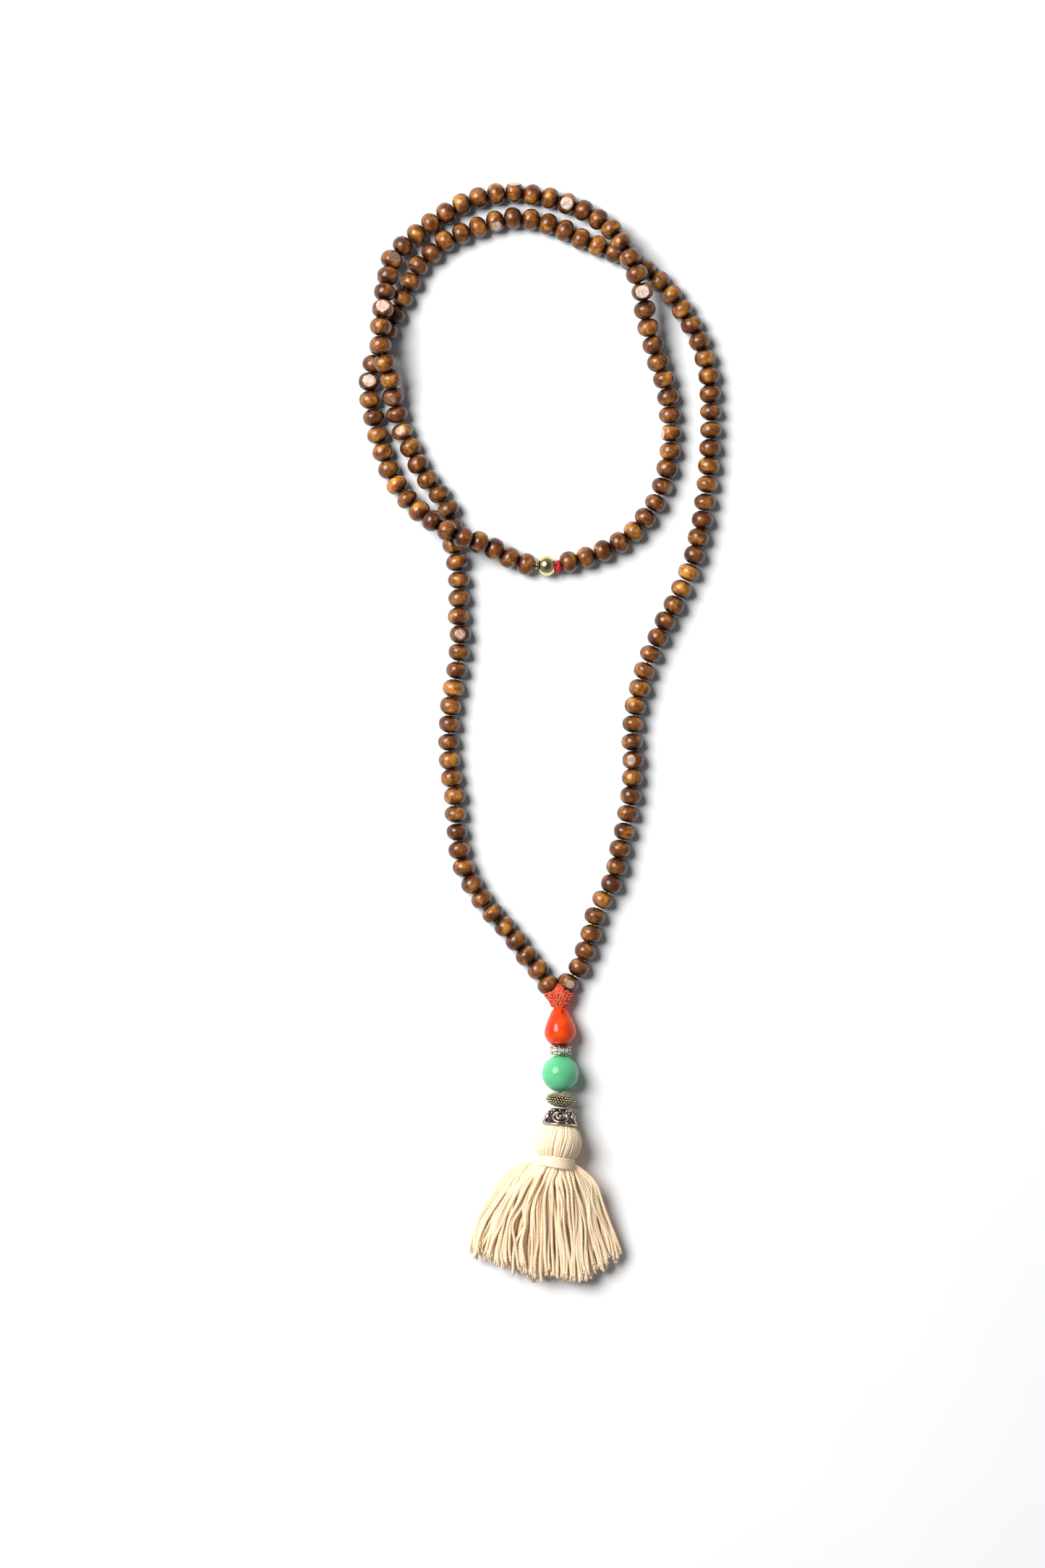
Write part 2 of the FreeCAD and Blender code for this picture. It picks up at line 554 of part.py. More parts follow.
publish(skirt, "tassel_skirt")

# ---------------------------------------------------------------- check and write
doc.recompute()
for item in doc.Objects:
    assert not {"Invalid", "Error"} & set(item.State), f"{item.Label} failed: {item.State}"
os.makedirs("parts", exist_ok=True)
low = FreeCAD.Vector(1e9, 1e9, 1e9)
high = FreeCAD.Vector(-1e9, -1e9, -1e9)
for item in nodes:
    shape = item.Shape
    assert not shape.isNull() and shape.isValid(), f"{item.Label} has no valid shape"
    assert shape.Solids, f"{item.Label} has no solid"
    box = shape.BoundBox
    low = FreeCAD.Vector(min(low.x, box.XMin), min(low.y, box.YMin), min(low.z, box.ZMin))
    high = FreeCAD.Vector(max(high.x, box.XMax), max(high.y, box.YMax), max(high.z, box.ZMax))
    shape.exportStep(f"parts/{item.Label}.step")
print(f"{len(nodes)} nodes, box {low} to {high}")
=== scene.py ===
import json
import math

import bpy
import numpy as np
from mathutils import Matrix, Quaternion, Vector
from mathutils.bvhtree import BVHTree


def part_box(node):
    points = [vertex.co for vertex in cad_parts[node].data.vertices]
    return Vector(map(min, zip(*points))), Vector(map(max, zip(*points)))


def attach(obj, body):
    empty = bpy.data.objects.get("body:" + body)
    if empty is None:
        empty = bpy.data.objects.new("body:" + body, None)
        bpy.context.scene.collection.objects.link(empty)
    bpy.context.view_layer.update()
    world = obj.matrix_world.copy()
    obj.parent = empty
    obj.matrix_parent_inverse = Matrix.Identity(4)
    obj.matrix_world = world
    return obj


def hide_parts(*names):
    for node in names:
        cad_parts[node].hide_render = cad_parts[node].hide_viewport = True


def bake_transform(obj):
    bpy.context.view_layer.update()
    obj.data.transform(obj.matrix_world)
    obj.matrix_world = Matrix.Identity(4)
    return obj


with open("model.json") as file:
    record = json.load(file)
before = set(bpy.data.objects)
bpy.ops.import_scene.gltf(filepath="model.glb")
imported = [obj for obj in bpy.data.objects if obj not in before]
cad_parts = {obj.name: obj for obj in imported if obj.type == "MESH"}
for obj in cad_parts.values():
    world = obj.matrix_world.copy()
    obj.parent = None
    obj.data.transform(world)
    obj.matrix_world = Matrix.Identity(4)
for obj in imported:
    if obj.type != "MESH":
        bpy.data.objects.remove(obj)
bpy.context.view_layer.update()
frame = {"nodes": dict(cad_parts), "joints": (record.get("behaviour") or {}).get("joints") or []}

# Mala prayer beads lying on a white studio table: the wooden strand in a double loop, its
# gold bead, the pendant of coral, stones, green bead and silver, and the cotton tassel.
# Metres throughout. Z is up, and the table is z = 0.

MM = 0.001
TAU = 2 * math.pi
BEAD_REST = 4.05 * MM


# ================================================================ camera, light and floor
VIEW_HEIGHT = 0.5973
VIEW_CENTRE = (-0.0073, -0.0193)
LENS = 100.0
SENSOR = 36.0
VIEW_PLANE = 4 * MM


def make_camera():
    """Straight above the table, framed as a tall picture."""
    data = bpy.data.cameras.new("camera")
    data.lens = LENS
    data.sensor_fit = "VERTICAL"
    data.sensor_height = SENSOR
    camera = bpy.data.objects.new("camera", data)
    height = VIEW_PLANE + VIEW_HEIGHT * LENS / SENSOR
    camera.location = (VIEW_CENTRE[0], VIEW_CENTRE[1], height)
    bpy.context.scene.collection.objects.link(camera)
    bpy.context.scene.camera = camera


KEY_TOWARDS = (-0.535, 0.333, 0.777)
KEY_DISTANCE = 1.9


def make_light():
    """One large round soft box from the upper left, in a dim room over a white table."""
    data = bpy.data.lights.new("key_softbox", "AREA")
    data.shape = "DISK"
    data.size = 1.3
    data.energy = 62.0
    lamp = bpy.data.objects.new("key_softbox", data)
    lamp.location = Vector(KEY_TOWARDS) * KEY_DISTANCE
    lamp.rotation_euler = Vector(KEY_TOWARDS).to_track_quat("Z", "Y").to_euler()
    bpy.context.scene.collection.objects.link(lamp)
    world = bpy.data.worlds.new("studio")
    world.use_nodes = True
    tree = world.node_tree
    ways = add_node(tree, "TexCoord").outputs["Generated"]
    height = add_node(tree, "SeparateXYZ", Vector=ways).outputs["Z"]
    sky = ramp(height, (0.0, (0.34, 0.34, 0.35)), (0.35, (0.26, 0.26, 0.27)),
               (0.85, (0.06, 0.06, 0.065)))
    fill(tree.nodes["Background"], Color=sky)
    bpy.context.scene.world = world
    bpy.context.scene.view_settings.view_transform = "Standard"


# ================================================================ material helpers
def feed(socket, value):
    """Link a socket to another one, or set its value."""
    if isinstance(value, bpy.types.NodeSocket):
        socket.id_data.links.new(value, socket)
    elif socket.type == "RGBA":
        socket.default_value = (*value, 1)
    else:
        socket.default_value = value


def fill(node, **values):
    """Feed a node's sockets by name; a name that is no socket sets a property."""
    for key, value in values.items():
        name = key.replace("_", " ")
        if name in node.inputs:
            feed(node.inputs[name], value)
        else:
            setattr(node, key, value)


def add_node(tree, kind, **values):
    node = tree.nodes.new("ShaderNode" + kind)
    fill(node, **values)
    return node


def noise(vector, scale, detail=3.0, roughness=0.55, distortion=0.0):
    return add_node(vector.id_data, "TexNoise", Vector=vector, Scale=scale, Detail=detail,
                    Roughness=roughness, Distortion=distortion).outputs["Fac"]


def ramp(factor, *stops):
    """A colour for each value of factor, from (value, colour) stops."""
    node = add_node(factor.id_data, "ValToRGB", Fac=factor)
    elements = node.color_ramp.elements
    while len(elements) < len(stops):
        elements.new(0.5)
    for element, (position, colour) in zip(elements, stops):
        element.position = position
        element.color = (*colour, 1)
    return node.outputs["Color"]


def mix(factor, first, second, mode="MIX"):
    """Mix a colour socket with a colour or another socket."""
    node = add_node(first.id_data, "Mix", data_type="RGBA", blend_type=mode)
    for index, value in ((0, factor), (6, first), (7, second)):
        feed(node.inputs[index], value)
    return node.outputs[2]


def math_node(operation, *values):
    node = add_node(values[0].id_data, "Math", operation=operation)
    for socket, value in zip(node.inputs, values):
        feed(socket, value)
    return node.outputs[0]


def attribute(shader, name):
    return add_node(shader.id_data, "Attribute", attribute_name=name).outputs["Fac"]


def bumped(shader, height, strength, distance):
    return add_node(shader.id_data, "Bump", Height=height, Strength=strength,
                    Distance=distance).outputs["Normal"]


def new_material(name):
    """A material, its shader, and the position on the piece as a socket."""
    material = bpy.data.materials.new(name)
    material.use_nodes = True
    tree = material.node_tree
    position = add_node(tree, "TexCoord").outputs["Object"]
    return material, tree.nodes["Principled BSDF"], position


# ================================================================ materials
WHITE = (1.0, 1.0, 1.0)


def wood_material():
    """Varnished brown hardwood with gold flecks in its grain; painted light makes it golden on top,
    and painted shade darkens its sides, underside and ends, where the end grain is darker too.
    """
    material, shader, _ = new_material("varnished_wood")
    grain = add_node(shader.id_data, "Attribute", attribute_name="grain").outputs["Vector"]
    facet = attribute(shader, "facet")
    drawn = add_node(shader.id_data, "Mapping", Vector=grain, Scale=(1.0, 1.0, 0.2))
    drawn = drawn.outputs["Vector"]
    fibre = noise(drawn, 1000.0, 4.0, 0.62, 0.5)
    patch = noise(grain, 210.0, 2.0, 0.5, 0.6)
    fleck = noise(drawn, 2300.0, 3.0, 0.65)
    body = ramp(patch, (0.28, (0.075, 0.025, 0.007)), (0.45, (0.15, 0.055, 0.012)),
                (0.57, (0.26, 0.11, 0.021)), (0.72, (0.48, 0.24, 0.048)))
    dark = ramp(fibre, (0.38, (0.26, 0.16, 0.12)), (0.55, WHITE))
    body = mix(0.6, body, dark, "MULTIPLY")
    gold = ramp(fleck, (0.58, (0.0, 0.0, 0.0)), (0.74, (0.30, 0.14, 0.03)))
    body = mix(0.7, body, gold, "ADD")
    tint = ramp(attribute(shader, "tone"), (0.0, (0.42, 0.32, 0.32)), (0.35, (0.74, 0.62, 0.58)),
                (0.75, (1.02, 0.96, 0.82)), (1.0, (1.40, 1.25, 0.75)))
    body = mix(1.0, body, tint, "MULTIPLY")
    # Painted light and painted shade: brighter on each bead's top, darker at its sides and
    # underside, and darker at its ends, partly darker end grain; the wood's patches break it up.
    shade_with_patches = math_node("MULTIPLY_ADD", patch, -0.5, attribute(shader, "shade_and_end_grain"))
    rim = ramp(shade_with_patches, (0.0, (1.55, 1.50, 1.35)), (0.20, (0.72, 0.63, 0.56)),
               (0.52, (0.15, 0.10, 0.09)))
    body = mix(1.0, body, rim, "MULTIPLY")
    cut = ramp(fibre, (0.30, (0.40, 0.24, 0.16)), (0.60, (0.78, 0.64, 0.54)))
    fill(shader, Base_Color=mix(facet, body, cut), Roughness=0.5, Specular_IOR_Level=0.15,
         Coat_Weight=math_node("MULTIPLY_ADD", facet, -0.45, 0.95), Coat_Roughness=0.185,
         Coat_IOR=1.42, Normal=bumped(shader, fibre, 0.3, 0.05 * MM))
    return material


def thread_material(name, light, dark, fuzz=0.5, scale=2600.0, subsurface=0.0):
    """Spun thread: fine fibre streaks in two tones with a soft sheen."""
    material, shader, position = new_material(name)
    fibre = noise(position, scale, 4.0, 0.7)
    colour = ramp(fibre, (0.28, dark), (0.66, light))
    tint = ramp(noise(position, 230.0, 2.0), (0.3, (0.98, 0.88, 0.76)), (0.7, WHITE))
    colour = mix(0.8, colour, tint, "MULTIPLY")
    # The shade value darkens the colour towards dark: painted shade in grooves between plies, under
    # upper layers and on linings and cores, plus tone that differs at random.
    deep = mix(0.75, colour, dark, "MULTIPLY")
    fill(shader, Base_Color=mix(attribute(shader, "shade"), colour, deep), Roughness=0.82,
         Sheen_Weight=fuzz, Sheen_Roughness=0.4, Subsurface_Weight=subsurface,
         Subsurface_Radius=(1.0, 0.9, 0.8), Subsurface_Scale=0.7 * MM,
         Normal=bumped(shader, fibre, 0.5, 0.06 * MM))
    return material


def metal_material(name, bright, worn, dark, roughness, dirt):
    """Cast metal, with dark oxide in the recesses and polished high spots."""
    material, shader, position = new_material(name)
    fine = noise(position, 1900.0, 4.0, 0.65)
    oxide = math_node("MULTIPLY", noise(position, 420.0, 3.0), dirt)
    colour = mix(oxide, ramp(fine, (0.3, worn), (0.62, bright)), dark)
    rough = ramp(fine, (0.3, (roughness + 0.18,) * 3), (0.7, (roughness,) * 3))
    fill(shader, Base_Color=mix(attribute(shader, "shade"), colour, dark), Metallic=1.0,
         Roughness=rough, Normal=bumped(shader, fine, 0.22, 0.03 * MM))
    return material


def coral_material():
    material, shader, position = new_material("coral")
    cloud = noise(position, 190.0, 3.0, 0.5, 0.4)
    vein = noise(position, 900.0, 4.0, 0.6)
    colour = ramp(cloud, (0.3, (0.68, 0.022, 0.002)), (0.65, (0.88, 0.075, 0.004)))
    spots = ramp(vein, (0.30, (0.72, 0.55, 0.5)), (0.40, WHITE))
    colour = mix(0.35, colour, spots, "MULTIPLY")
    # The shade value darkens the coral: painted shade in the pit, and a darker band at the end next
    # to the rondelle.
    fill(shader, Base_Color=mix(attribute(shader, "shade"), colour, (0.12, 0.003, 0.002)),
         Roughness=0.4, Specular_IOR_Level=0.1, Coat_Weight=0.7, Coat_Roughness=0.075,
         Coat_IOR=1.42, Subsurface_Weight=0.15, Subsurface_Radius=(1.0, 0.2, 0.05),
         Subsurface_Scale=1.0 * MM, Normal=bumped(shader, vein, 0.08, 0.05 * MM))
    return material


def green_material():
    """Milky green stone that lets light in from the sides."""
    material, shader, position = new_material("green_stone")
    cloud = noise(position, 130.0, 3.0, 0.5, 0.8)
    wisp = noise(position, 520.0, 4.0, 0.6, 0.5)
    colour = ramp(cloud, (0.32, (0.095, 0.47, 0.19)), (0.66, (0.15, 0.55, 0.31)))
    milk = ramp(wisp, (0.4, (0.92, 0.95, 0.92)), (0.7, WHITE))
    fill(shader, Base_Color=mix(0.8, colour, milk, "MULTIPLY"), Roughness=0.4,
         Specular_IOR_Level=0.1, Coat_Weight=0.6, Coat_Roughness=0.12, Coat_IOR=1.42,
         Subsurface_Weight=0.8, Subsurface_Radius=(0.6, 1.0, 0.7), Subsurface_Scale=3.0 * MM,
         Normal=bumped(shader, wisp, 0.05, 0.05 * MM))
    return material


def stone_material():
    material, shader, position = new_material("clear_stones")
    flaw = noise(position, 700.0, 2.0)
    fill(shader, Base_Color=ramp(flaw, (0.3, (0.86, 0.89, 0.93)), (0.7, WHITE)), Roughness=0.03,
         IOR=1.8, Metallic=0.55, Transmission_Weight=0.2, Coat_Weight=1.0, Coat_Roughness=0.02)
    return material


def floor_material():
    material, shader, position = new_material("white_table")
    mottle = noise(position, 9.0, 3.0)
    fill(shader, Base_Color=ramp(mottle, (0.3, (0.90,) * 3), (0.7, (0.92,) * 3)),
         Roughness=0.6, Specular_IOR_Level=0.2)
    return material


# ================================================================ mesh helpers
def place(points, origin, axes):
    """Local points into the row frame, with the columns of axes as local X, Y and Z."""
    return np.asarray(points) @ np.asarray(axes).T + np.asarray(origin)


class Soup:
    """Many small forms, given in one local frame, gathered into one mesh."""

    def __init__(self, origin=(0.0, 0.0, 0.0), axes=np.eye(3)):
        self.frame = (origin, axes)
        self.points = []
        self.faces = []
        self.values = {}
        self.count = 0

    def add(self, points, faces, **values):
        """One more form; values are point attributes, one for each point or for all."""
        self.points.append(place(points, *self.frame))
        self.faces.extend([[i + self.count for i in face] for face in faces])
        for name, value in values.items():
            value = np.asarray(value, float)
            if value.ndim == 0:
                value = np.full(len(points), float(value))
            self.values.setdefault(name, []).append((self.count, value))
        self.count += len(points)

    def build(self, name, material, smooth=True):
        mesh = bpy.data.meshes.new(name)
        mesh.from_pydata(np.concatenate(self.points).tolist(), [], self.faces)
        for key, parts in self.values.items():
            vector = parts[0][1].ndim == 2
            kind = "FLOAT_VECTOR" if vector else "FLOAT"
            layer = mesh.attributes.new(key, kind, "POINT")
            data = np.zeros((self.count, 3)) if vector else np.zeros(self.count)
            for start, value in parts:
                data[start:start + len(value)] = value
            layer.data.foreach_set("vector" if vector else "value", data.ravel())
        mesh.polygons.foreach_set("use_smooth", [smooth] * len(mesh.polygons))
        mesh.materials.append(material)
        mesh.validate()
        mesh.update()
        thing = bpy.data.objects.new(name, mesh)
        bpy.context.scene.collection.objects.link(thing)
        return thing


def finish_piece(thing, body, *nodes):
    """Tie a piece to its body and hide the CAD nodes it stands for."""
    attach(thing, body)
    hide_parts(*nodes)


def grid_faces(rows, columns, closed=True, capped=False):
    """Quads of a grid of points; closed joins the columns into rings, capped fills the ends."""
    faces = []
    for row in range(rows - 1):
        for column in range(columns if closed else columns - 1):
            after = (column + 1) % columns
            faces.append([row * columns + column, row * columns + after,
                          (row + 1) * columns + after, (row + 1) * columns + column])
    if capped:
        faces.append(list(range(columns))[::-1])
        faces.append([(rows - 1) * columns + column for column in range(columns)])
    return faces


def lathe(profile, columns, unit=MM, capped=False):
    """Points and faces of a profile of radius and height turned about local Z."""
    turn = np.arange(columns) / columns * TAU
    rows = []
    for radius, height in np.array([spot[:2] for spot in profile], float) * unit:
        rows.append(np.stack([radius * np.cos(turn), radius * np.sin(turn),
                              np.full(columns, height)], 1))
    return np.concatenate(rows), grid_faces(len(rows), columns, capped=capped)


def lengths_along(path):
    """The length from the start of a path to each of its points."""
    steps = np.linalg.norm(np.diff(path, axis=0), axis=1)
    return np.concatenate([[0], np.cumsum(steps)])


def normals_along(path):
    """A steady pair of normals along a path of points."""
    tangents = np.gradient(path, axis=0)
    tangents /= np.linalg.norm(tangents, axis=1)[:, None]
    normal = np.cross(tangents[0], (0.0, 0.0, 1.0))
    if np.linalg.norm(normal) < 0.1:
        normal = np.cross(tangents[0], (0.0, 1.0, 0.0))
    normals = []
    for tangent in tangents:
        normal = normal - tangent * normal.dot(tangent)
        normal = normal / np.linalg.norm(normal)
        normals.append(normal)
    return np.array(normals), np.cross(tangents, normals)


def twisted(path, radius, plies=2, twist=2.4, sides=10, phase=0.0, taper=None, waist=0.42):
    """A twisted yarn, all in millimetres: the outline of its plies, and how deep each point lies in
    their grooves, for painted shade there.

    waist is how far in the grooves between the plies reach, as a share of the radius."""
    path = np.asarray(path, float)
    normals, sideways = normals_along(path)
    along = lengths_along(path)
    angles = np.arange(sides) / sides * TAU
    offset = 0.46 if plies > 1 else 0.0
    rows, depths = [], []
    for index, centre in enumerate(path):
        spin = phase + TAU * along[index] / twist
        reach = np.zeros(sides)
        for ply in range(plies):
            away = angles - spin - TAU * ply / plies
            inside = np.clip((1 - offset) ** 2 - (offset * np.sin(away)) ** 2, 0, None)
            reach = np.maximum(reach, offset * np.cos(away) + np.sqrt(inside))
        depths.append(np.clip((1 - reach) / 0.5, 0, 1))
        reach = np.maximum(reach, waist) * radius
        if taper is not None:
            reach = reach * taper[index]
        rows.append(centre + np.outer(reach * np.cos(angles), normals[index])
                    + np.outer(reach * np.sin(angles), sideways[index]))
    return (np.concatenate(rows) * MM, grid_faces(len(path), sides, capped=True),
            np.concatenate(depths))


def yarn(*arguments, **options):
    """The same, for thread so fine that its grooves need no painted shade."""
    return twisted(*arguments, **options)[:2]


def wire(path, radius, sides=10, **options):
    """Plain round wire along a path, in millimetres."""
    return yarn(path, radius, plies=1, sides=sides, **options)


def smooth_path(points, count):
    """A smooth line of count points through a few given points."""
    points = np.asarray(points, float)
    padded = np.concatenate([[2 * points[0] - points[1]], points, [2 * points[-1] - points[-2]]])
    result = []
    for step in np.linspace(0, len(points) - 1, count):
        index = min(int(step), len(points) - 2)
        t = step - index
        a, b, c, d = padded[index:index + 4]
        result.append(0.5 * (2 * b + (c - a) * t + (2 * a - 5 * b + 4 * c - d) * t * t
                             + (3 * b - a - 3 * c + d) * t ** 3))
    return np.array(result)


def smoothed(values, rounds):
    """A row of values, each drawn towards its two neighbours."""
    for _ in range(rounds):
        values[1:-1] = (values[:-2] + 2 * values[1:-1] + values[2:]) / 4
    return values


def ball(centre, radius, rings=7, columns=12):
    """A small round granule in millimetres, with no pinched poles."""
    bends = math.pi * np.arange(1, rings) / rings
    profile = np.stack([radius * np.sin(bends), -radius * np.cos(bends)], 1)
    points, faces = lathe(profile, columns, capped=True)
    return points + np.asarray(centre) * MM, faces


# ================================================================ the strand's route
# The same points as the CAD part's stringing cord, in millimetres here and scaled below:
# x, y and the lift above the height at which a bead rests on the table.
STRAND_ROUTE = [
    # left side, from the star knot up to the crossing at the foot of the upper loop
    (5.0, -99.0, 0), (0.5, -93.5, 0), (-7.0, -82.0, 0), (-18.0, -69.5, 0),
    (-28.0, -56.5, 0), (-32.5, -39.5, 0), (-33.0, -23.5, 0), (-36.0, -5.0, 0),
    (-34.0, 15.0, 0), (-31.0, 31.5, 0), (-31.5, 48.0, 0), (-31.5, 61.5, 0),
    (-34.0, 74.0, 0),
    # first turn: up the left, over the second turn, round the top, over it again
    (-34.5, 85.5, 0), (-43.0, 96.0, 0), (-51.0, 109.0, 0), (-56.0, 123.5, 1.0),
    (-57.5, 136.0, 5.6), (-61.5, 145.5, 8.7), (-60.5, 158.0, 8.7), (-59.5, 170.5, 5.0),
    (-57.5, 180.0, 1.2), (-49.5, 188.5, 0), (-38.0, 197.5, 0), (-23.0, 205.0, 0),
    (-6.0, 206.5, 0), (10.0, 202.0, 0), (23.0, 196.0, 1.8), (30.5, 186.0, 7.6),
    (36.0, 175.5, 8.9), (39.0, 162.0, 6.6), (41.0, 150.0, 3.6), (47.0, 134.5, 1.0),
    (49.5, 117.0, 0), (48.5, 101.0, 0), (42.5, 84.5, 0), (32.0, 73.5, 0),
    (17.5, 67.0, 0), (4.5, 63.5, 0),
    # second turn: from the gold bead over the left side, up, round the top and down
    (-8.5, 64.5, 0), (-20.0, 72.0, 2.6), (-29.5, 73.5, 8.5), (-38.5, 78.0, 8.7),
    (-49.0, 86.0, 2.8), (-57.5, 97.5, 0), (-62.0, 111.5, 0), (-65.0, 125.0, 0),
    (-66.0, 137.5, 0), (-60.5, 150.0, 0), (-54.0, 163.5, 0), (-48.5, 176.0, 0),
    (-38.0, 187.5, 0), (-24.5, 193.0, 0), (-9.5, 197.5, 0), (4.5, 194.0, 0),
    (17.5, 186.5, 0), (33.0, 181.5, 0), (45.0, 172.5, 0), (54.5, 160.5, 0),
    (62.0, 146.5, 0), (64.5, 129.0, 0), (64.5, 110.0, 0), (63.0, 93.5, 0),
    (60.5, 76.5, 0),
    # right side, back down to the star knot
    (56.5, 61.0, 0), (46.0, 41.0, 0), (37.5, 20.5, 0), (34.0, 1.0, 0),
    (35.5, -17.0, 0), (31.5, -37.5, 0), (27.5, -56.0, 0), (20.0, -68.5, 0),
    (17.5, -83.0, 0), (11.0, -93.5, 0), (8.0, -98.5, 0),
]
CORD_WIDTH = 1.0 * MM
SHORTEST_CORD = 30.2 * MM
UP = np.array([0.0, 0.0, 1.0])


class Strand:
    """The cord's smooth line, read from one NURBS curve by the length along it."""

    def __init__(self):
        curve = bpy.data.curves.new("strand_line", "CURVE")
        curve.dimensions = "3D"
        curve.resolution_u = 12
        spline = curve.splines.new("NURBS")
        spline.points.add(len(STRAND_ROUTE) - 1)
        for point, (x, y, up) in zip(spline.points, STRAND_ROUTE):
            point.co = (x * MM, y * MM, BEAD_REST + up * MM, 1)
        spline.order_u = 3
        spline.use_endpoint_u = True
        holder = bpy.data.objects.new("strand_line", curve)
        mesh = bpy.data.meshes.new_from_object(holder)
        self.line = np.array([vertex.co for vertex in mesh.vertices], float)
        self.along = lengths_along(self.line)
        self.length = self.along[-1]
        bpy.data.objects.remove(holder)
        bpy.data.curves.remove(curve)
        bpy.data.meshes.remove(mesh)

    def point(self, along):
        return np.stack([np.interp(along, self.along, self.line[:, k]) for k in range(3)], -1)

    def axes(self, along):
        """Columns: local X upward, Y sideways and Z along the cord."""
        reach = 2 * MM
        forward = self.point(along + reach) - self.point(along - reach)
        forward /= np.linalg.norm(forward)
        upward = UP - forward * UP.dot(forward)
        upward /= np.linalg.norm(upward)
        return np.stack([upward, np.cross(forward, upward), forward], 1)

    def nearest(self, spot, low=0.0, high=1e9):
        """The length along the line at which it passes nearest to a spot."""
        keep = (self.along >= low) & (self.along <= high)
        away = np.linalg.norm(self.line[keep] - spot, axis=1)
        first = self.along[keep][int(np.argmin(away))]
        fine = np.linspace(first - 4 * MM, first + 4 * MM, 161)
        gaps = np.linalg.norm(self.point(np.clip(fine, 0, self.length)) - spot, axis=1)
        return float(fine[int(np.argmin(gaps))])


def islands(thing):
    """The separate solids of a CAD node, each as its corner points."""
    mesh = thing.data
    parent = list(range(len(mesh.vertices)))

    def root(index):
        while parent[index] != index:
            parent[index] = parent[parent[index]]
            index = parent[index]
        return index

    seen = {}
    for vertex in mesh.vertices:
        key = tuple(round(c * 1e6) for c in vertex.co)
        if key in seen:
            parent[root(vertex.index)] = root(seen[key])
        else:
            seen[key] = vertex.index
    for edge in mesh.edges:
        first, second = edge.vertices
        parent[root(first)] = root(second)
    groups = {}
    for vertex in mesh.vertices:
        groups.setdefault(root(vertex.index), []).append(vertex.co[:])
    return [np.array(group) for group in groups.values()]


# The strand's sections in order, each with its beads and its own length of cord.
RUN_ORDER = [
    "lower5_left", "lower4_left", "lower3_left", "lower2_left", "lower1_left",
    "crossing_left", "shoulder_first_left", "crown_first", "shoulder_first_right",
    "crossing_middle", "shoulder_second_left", "crown_second", "shoulder_second_right",
    "crossing_right", "lower1_right", "lower2_right", "lower3_right", "lower4_right",
    "lower5_right",
]


def beads_by_run(strand):
    """For each bead node, the lengths along the strand at which its beads sit, in order."""
    runs = {}
    reached = 0.0
    for name in RUN_ORDER:
        spots = [(solid.min(0) + solid.max(0)) / 2
                 for solid in islands(frame["nodes"]["beads_" + name])]
        low = reached - 4 * MM
        high = low + 30 * MM + 8 * MM * len(spots)
        runs[name] = sorted(strand.nearest(spot, low, high) for spot in spots)
        reached = runs[name][-1]
    return runs


def make_cords(strand, runs, material):
    """The stringing cord: a length of waxed twist for each section, hidden in the bores."""
    for name in RUN_ORDER:
        node = "cord_" + name
        first, last = runs[name][0], runs[name][-1]
        reach = max(3.35 * MM, (SHORTEST_CORD - last + first) / 2)
        start = max(first - reach, 0.6 * MM)
        end = min(last + reach, strand.length - 0.6 * MM)
        path = strand.point(np.arange(start, end, 0.4 * MM))
        soup = Soup()
        soup.add(*yarn(path / MM, CORD_WIDTH / MM / 2, plies=3, twist=3.2, sides=12), shade=0.35)
        piece = soup.build("strand_" + node, material)
        finish_piece(piece, name.split("_")[0], node)


# ================================================================ wooden beads
BEAD_WIDTH = 8.3 * MM
BEAD_LENGTH = 6.8 * MM
BEAD_BORE = 0.95 * MM
BEAD_COLUMNS = 44
# A bead at the end of a section is this much shorter, so the strand can fold there.
BESIDE_FOLD = 0.925
# Beads higher than this are riding over a crossing.
RAISED = 5.4 * MM
# Beads with a ground flat, by number along the strand: degrees round the cord from straight
# up, lean along the cord, how much of the bead's width is ground away, and how pale it is.
FLATS = {
    21: (0, 0, 0.05, 0.5), 33: (-8, 8, 0.07, 0.15), 35: (-14, 0, 0.05, 0.15),
    40: (0, 0, 0.085, 1.0), 43: (12, 18, 0.08, 0.25), 51: (-72, 0, 0.12, 0.8),
    54: (4, 0, 0.09, 1.0), 61: (0, 0, 0.11, 1.0), 69: (75, 0, 0.09, 0.8),
    72: (-60, 0, 0.08, 0.7), 95: (0, 0, 0.085, 1.0), 107: (38, 0, 0.06, 0.8),
    145: (15, 0, 0.05, 0.5), 158: (-12, 4, 0.05, 0.6),
}
# Beads whose colour stands out on the real strand: 0 is darkest and 1 is orange.
TONES = {24: 0.55, 85: 0.35, 89: 1.0, 87: 0.5, 79: 0.3, 28: 0.3, 40: 0.6, 53: 0.62,
         92: 0.75, 57: 0.8, 104: 0.66, 95: 0.2, 105: 0.2, 61: 0.4}
PITTED = (33, 35, 43, 145)


def bead_profile():
    """Radius and height from inside one end of the bore, over the barrel, to the other."""
    half = BEAD_LENGTH / 2
    rim = 1.6 * MM
    roundness = 2.2
    reach = half / (1 - (rim / (BEAD_WIDTH / 2)) ** roundness) ** (1 / roundness)
    profile = [(BEAD_BORE, -half + 1.3 * MM), (BEAD_BORE, -half + 0.28 * MM),
               (BEAD_BORE + 0.3 * MM, -half + 0.06 * MM), (rim - 0.1 * MM, -half)]
    steps = 19
    for step in range(steps):
        level = -math.cos(math.pi * (step + 0.5) / steps) * half
        share = 1 - (abs(level) / reach) ** roundness
        profile.append((BEAD_WIDTH / 2 * share ** (1 / roundness), level))
    return profile + [(radius, -height) for radius, height in profile[3::-1]]


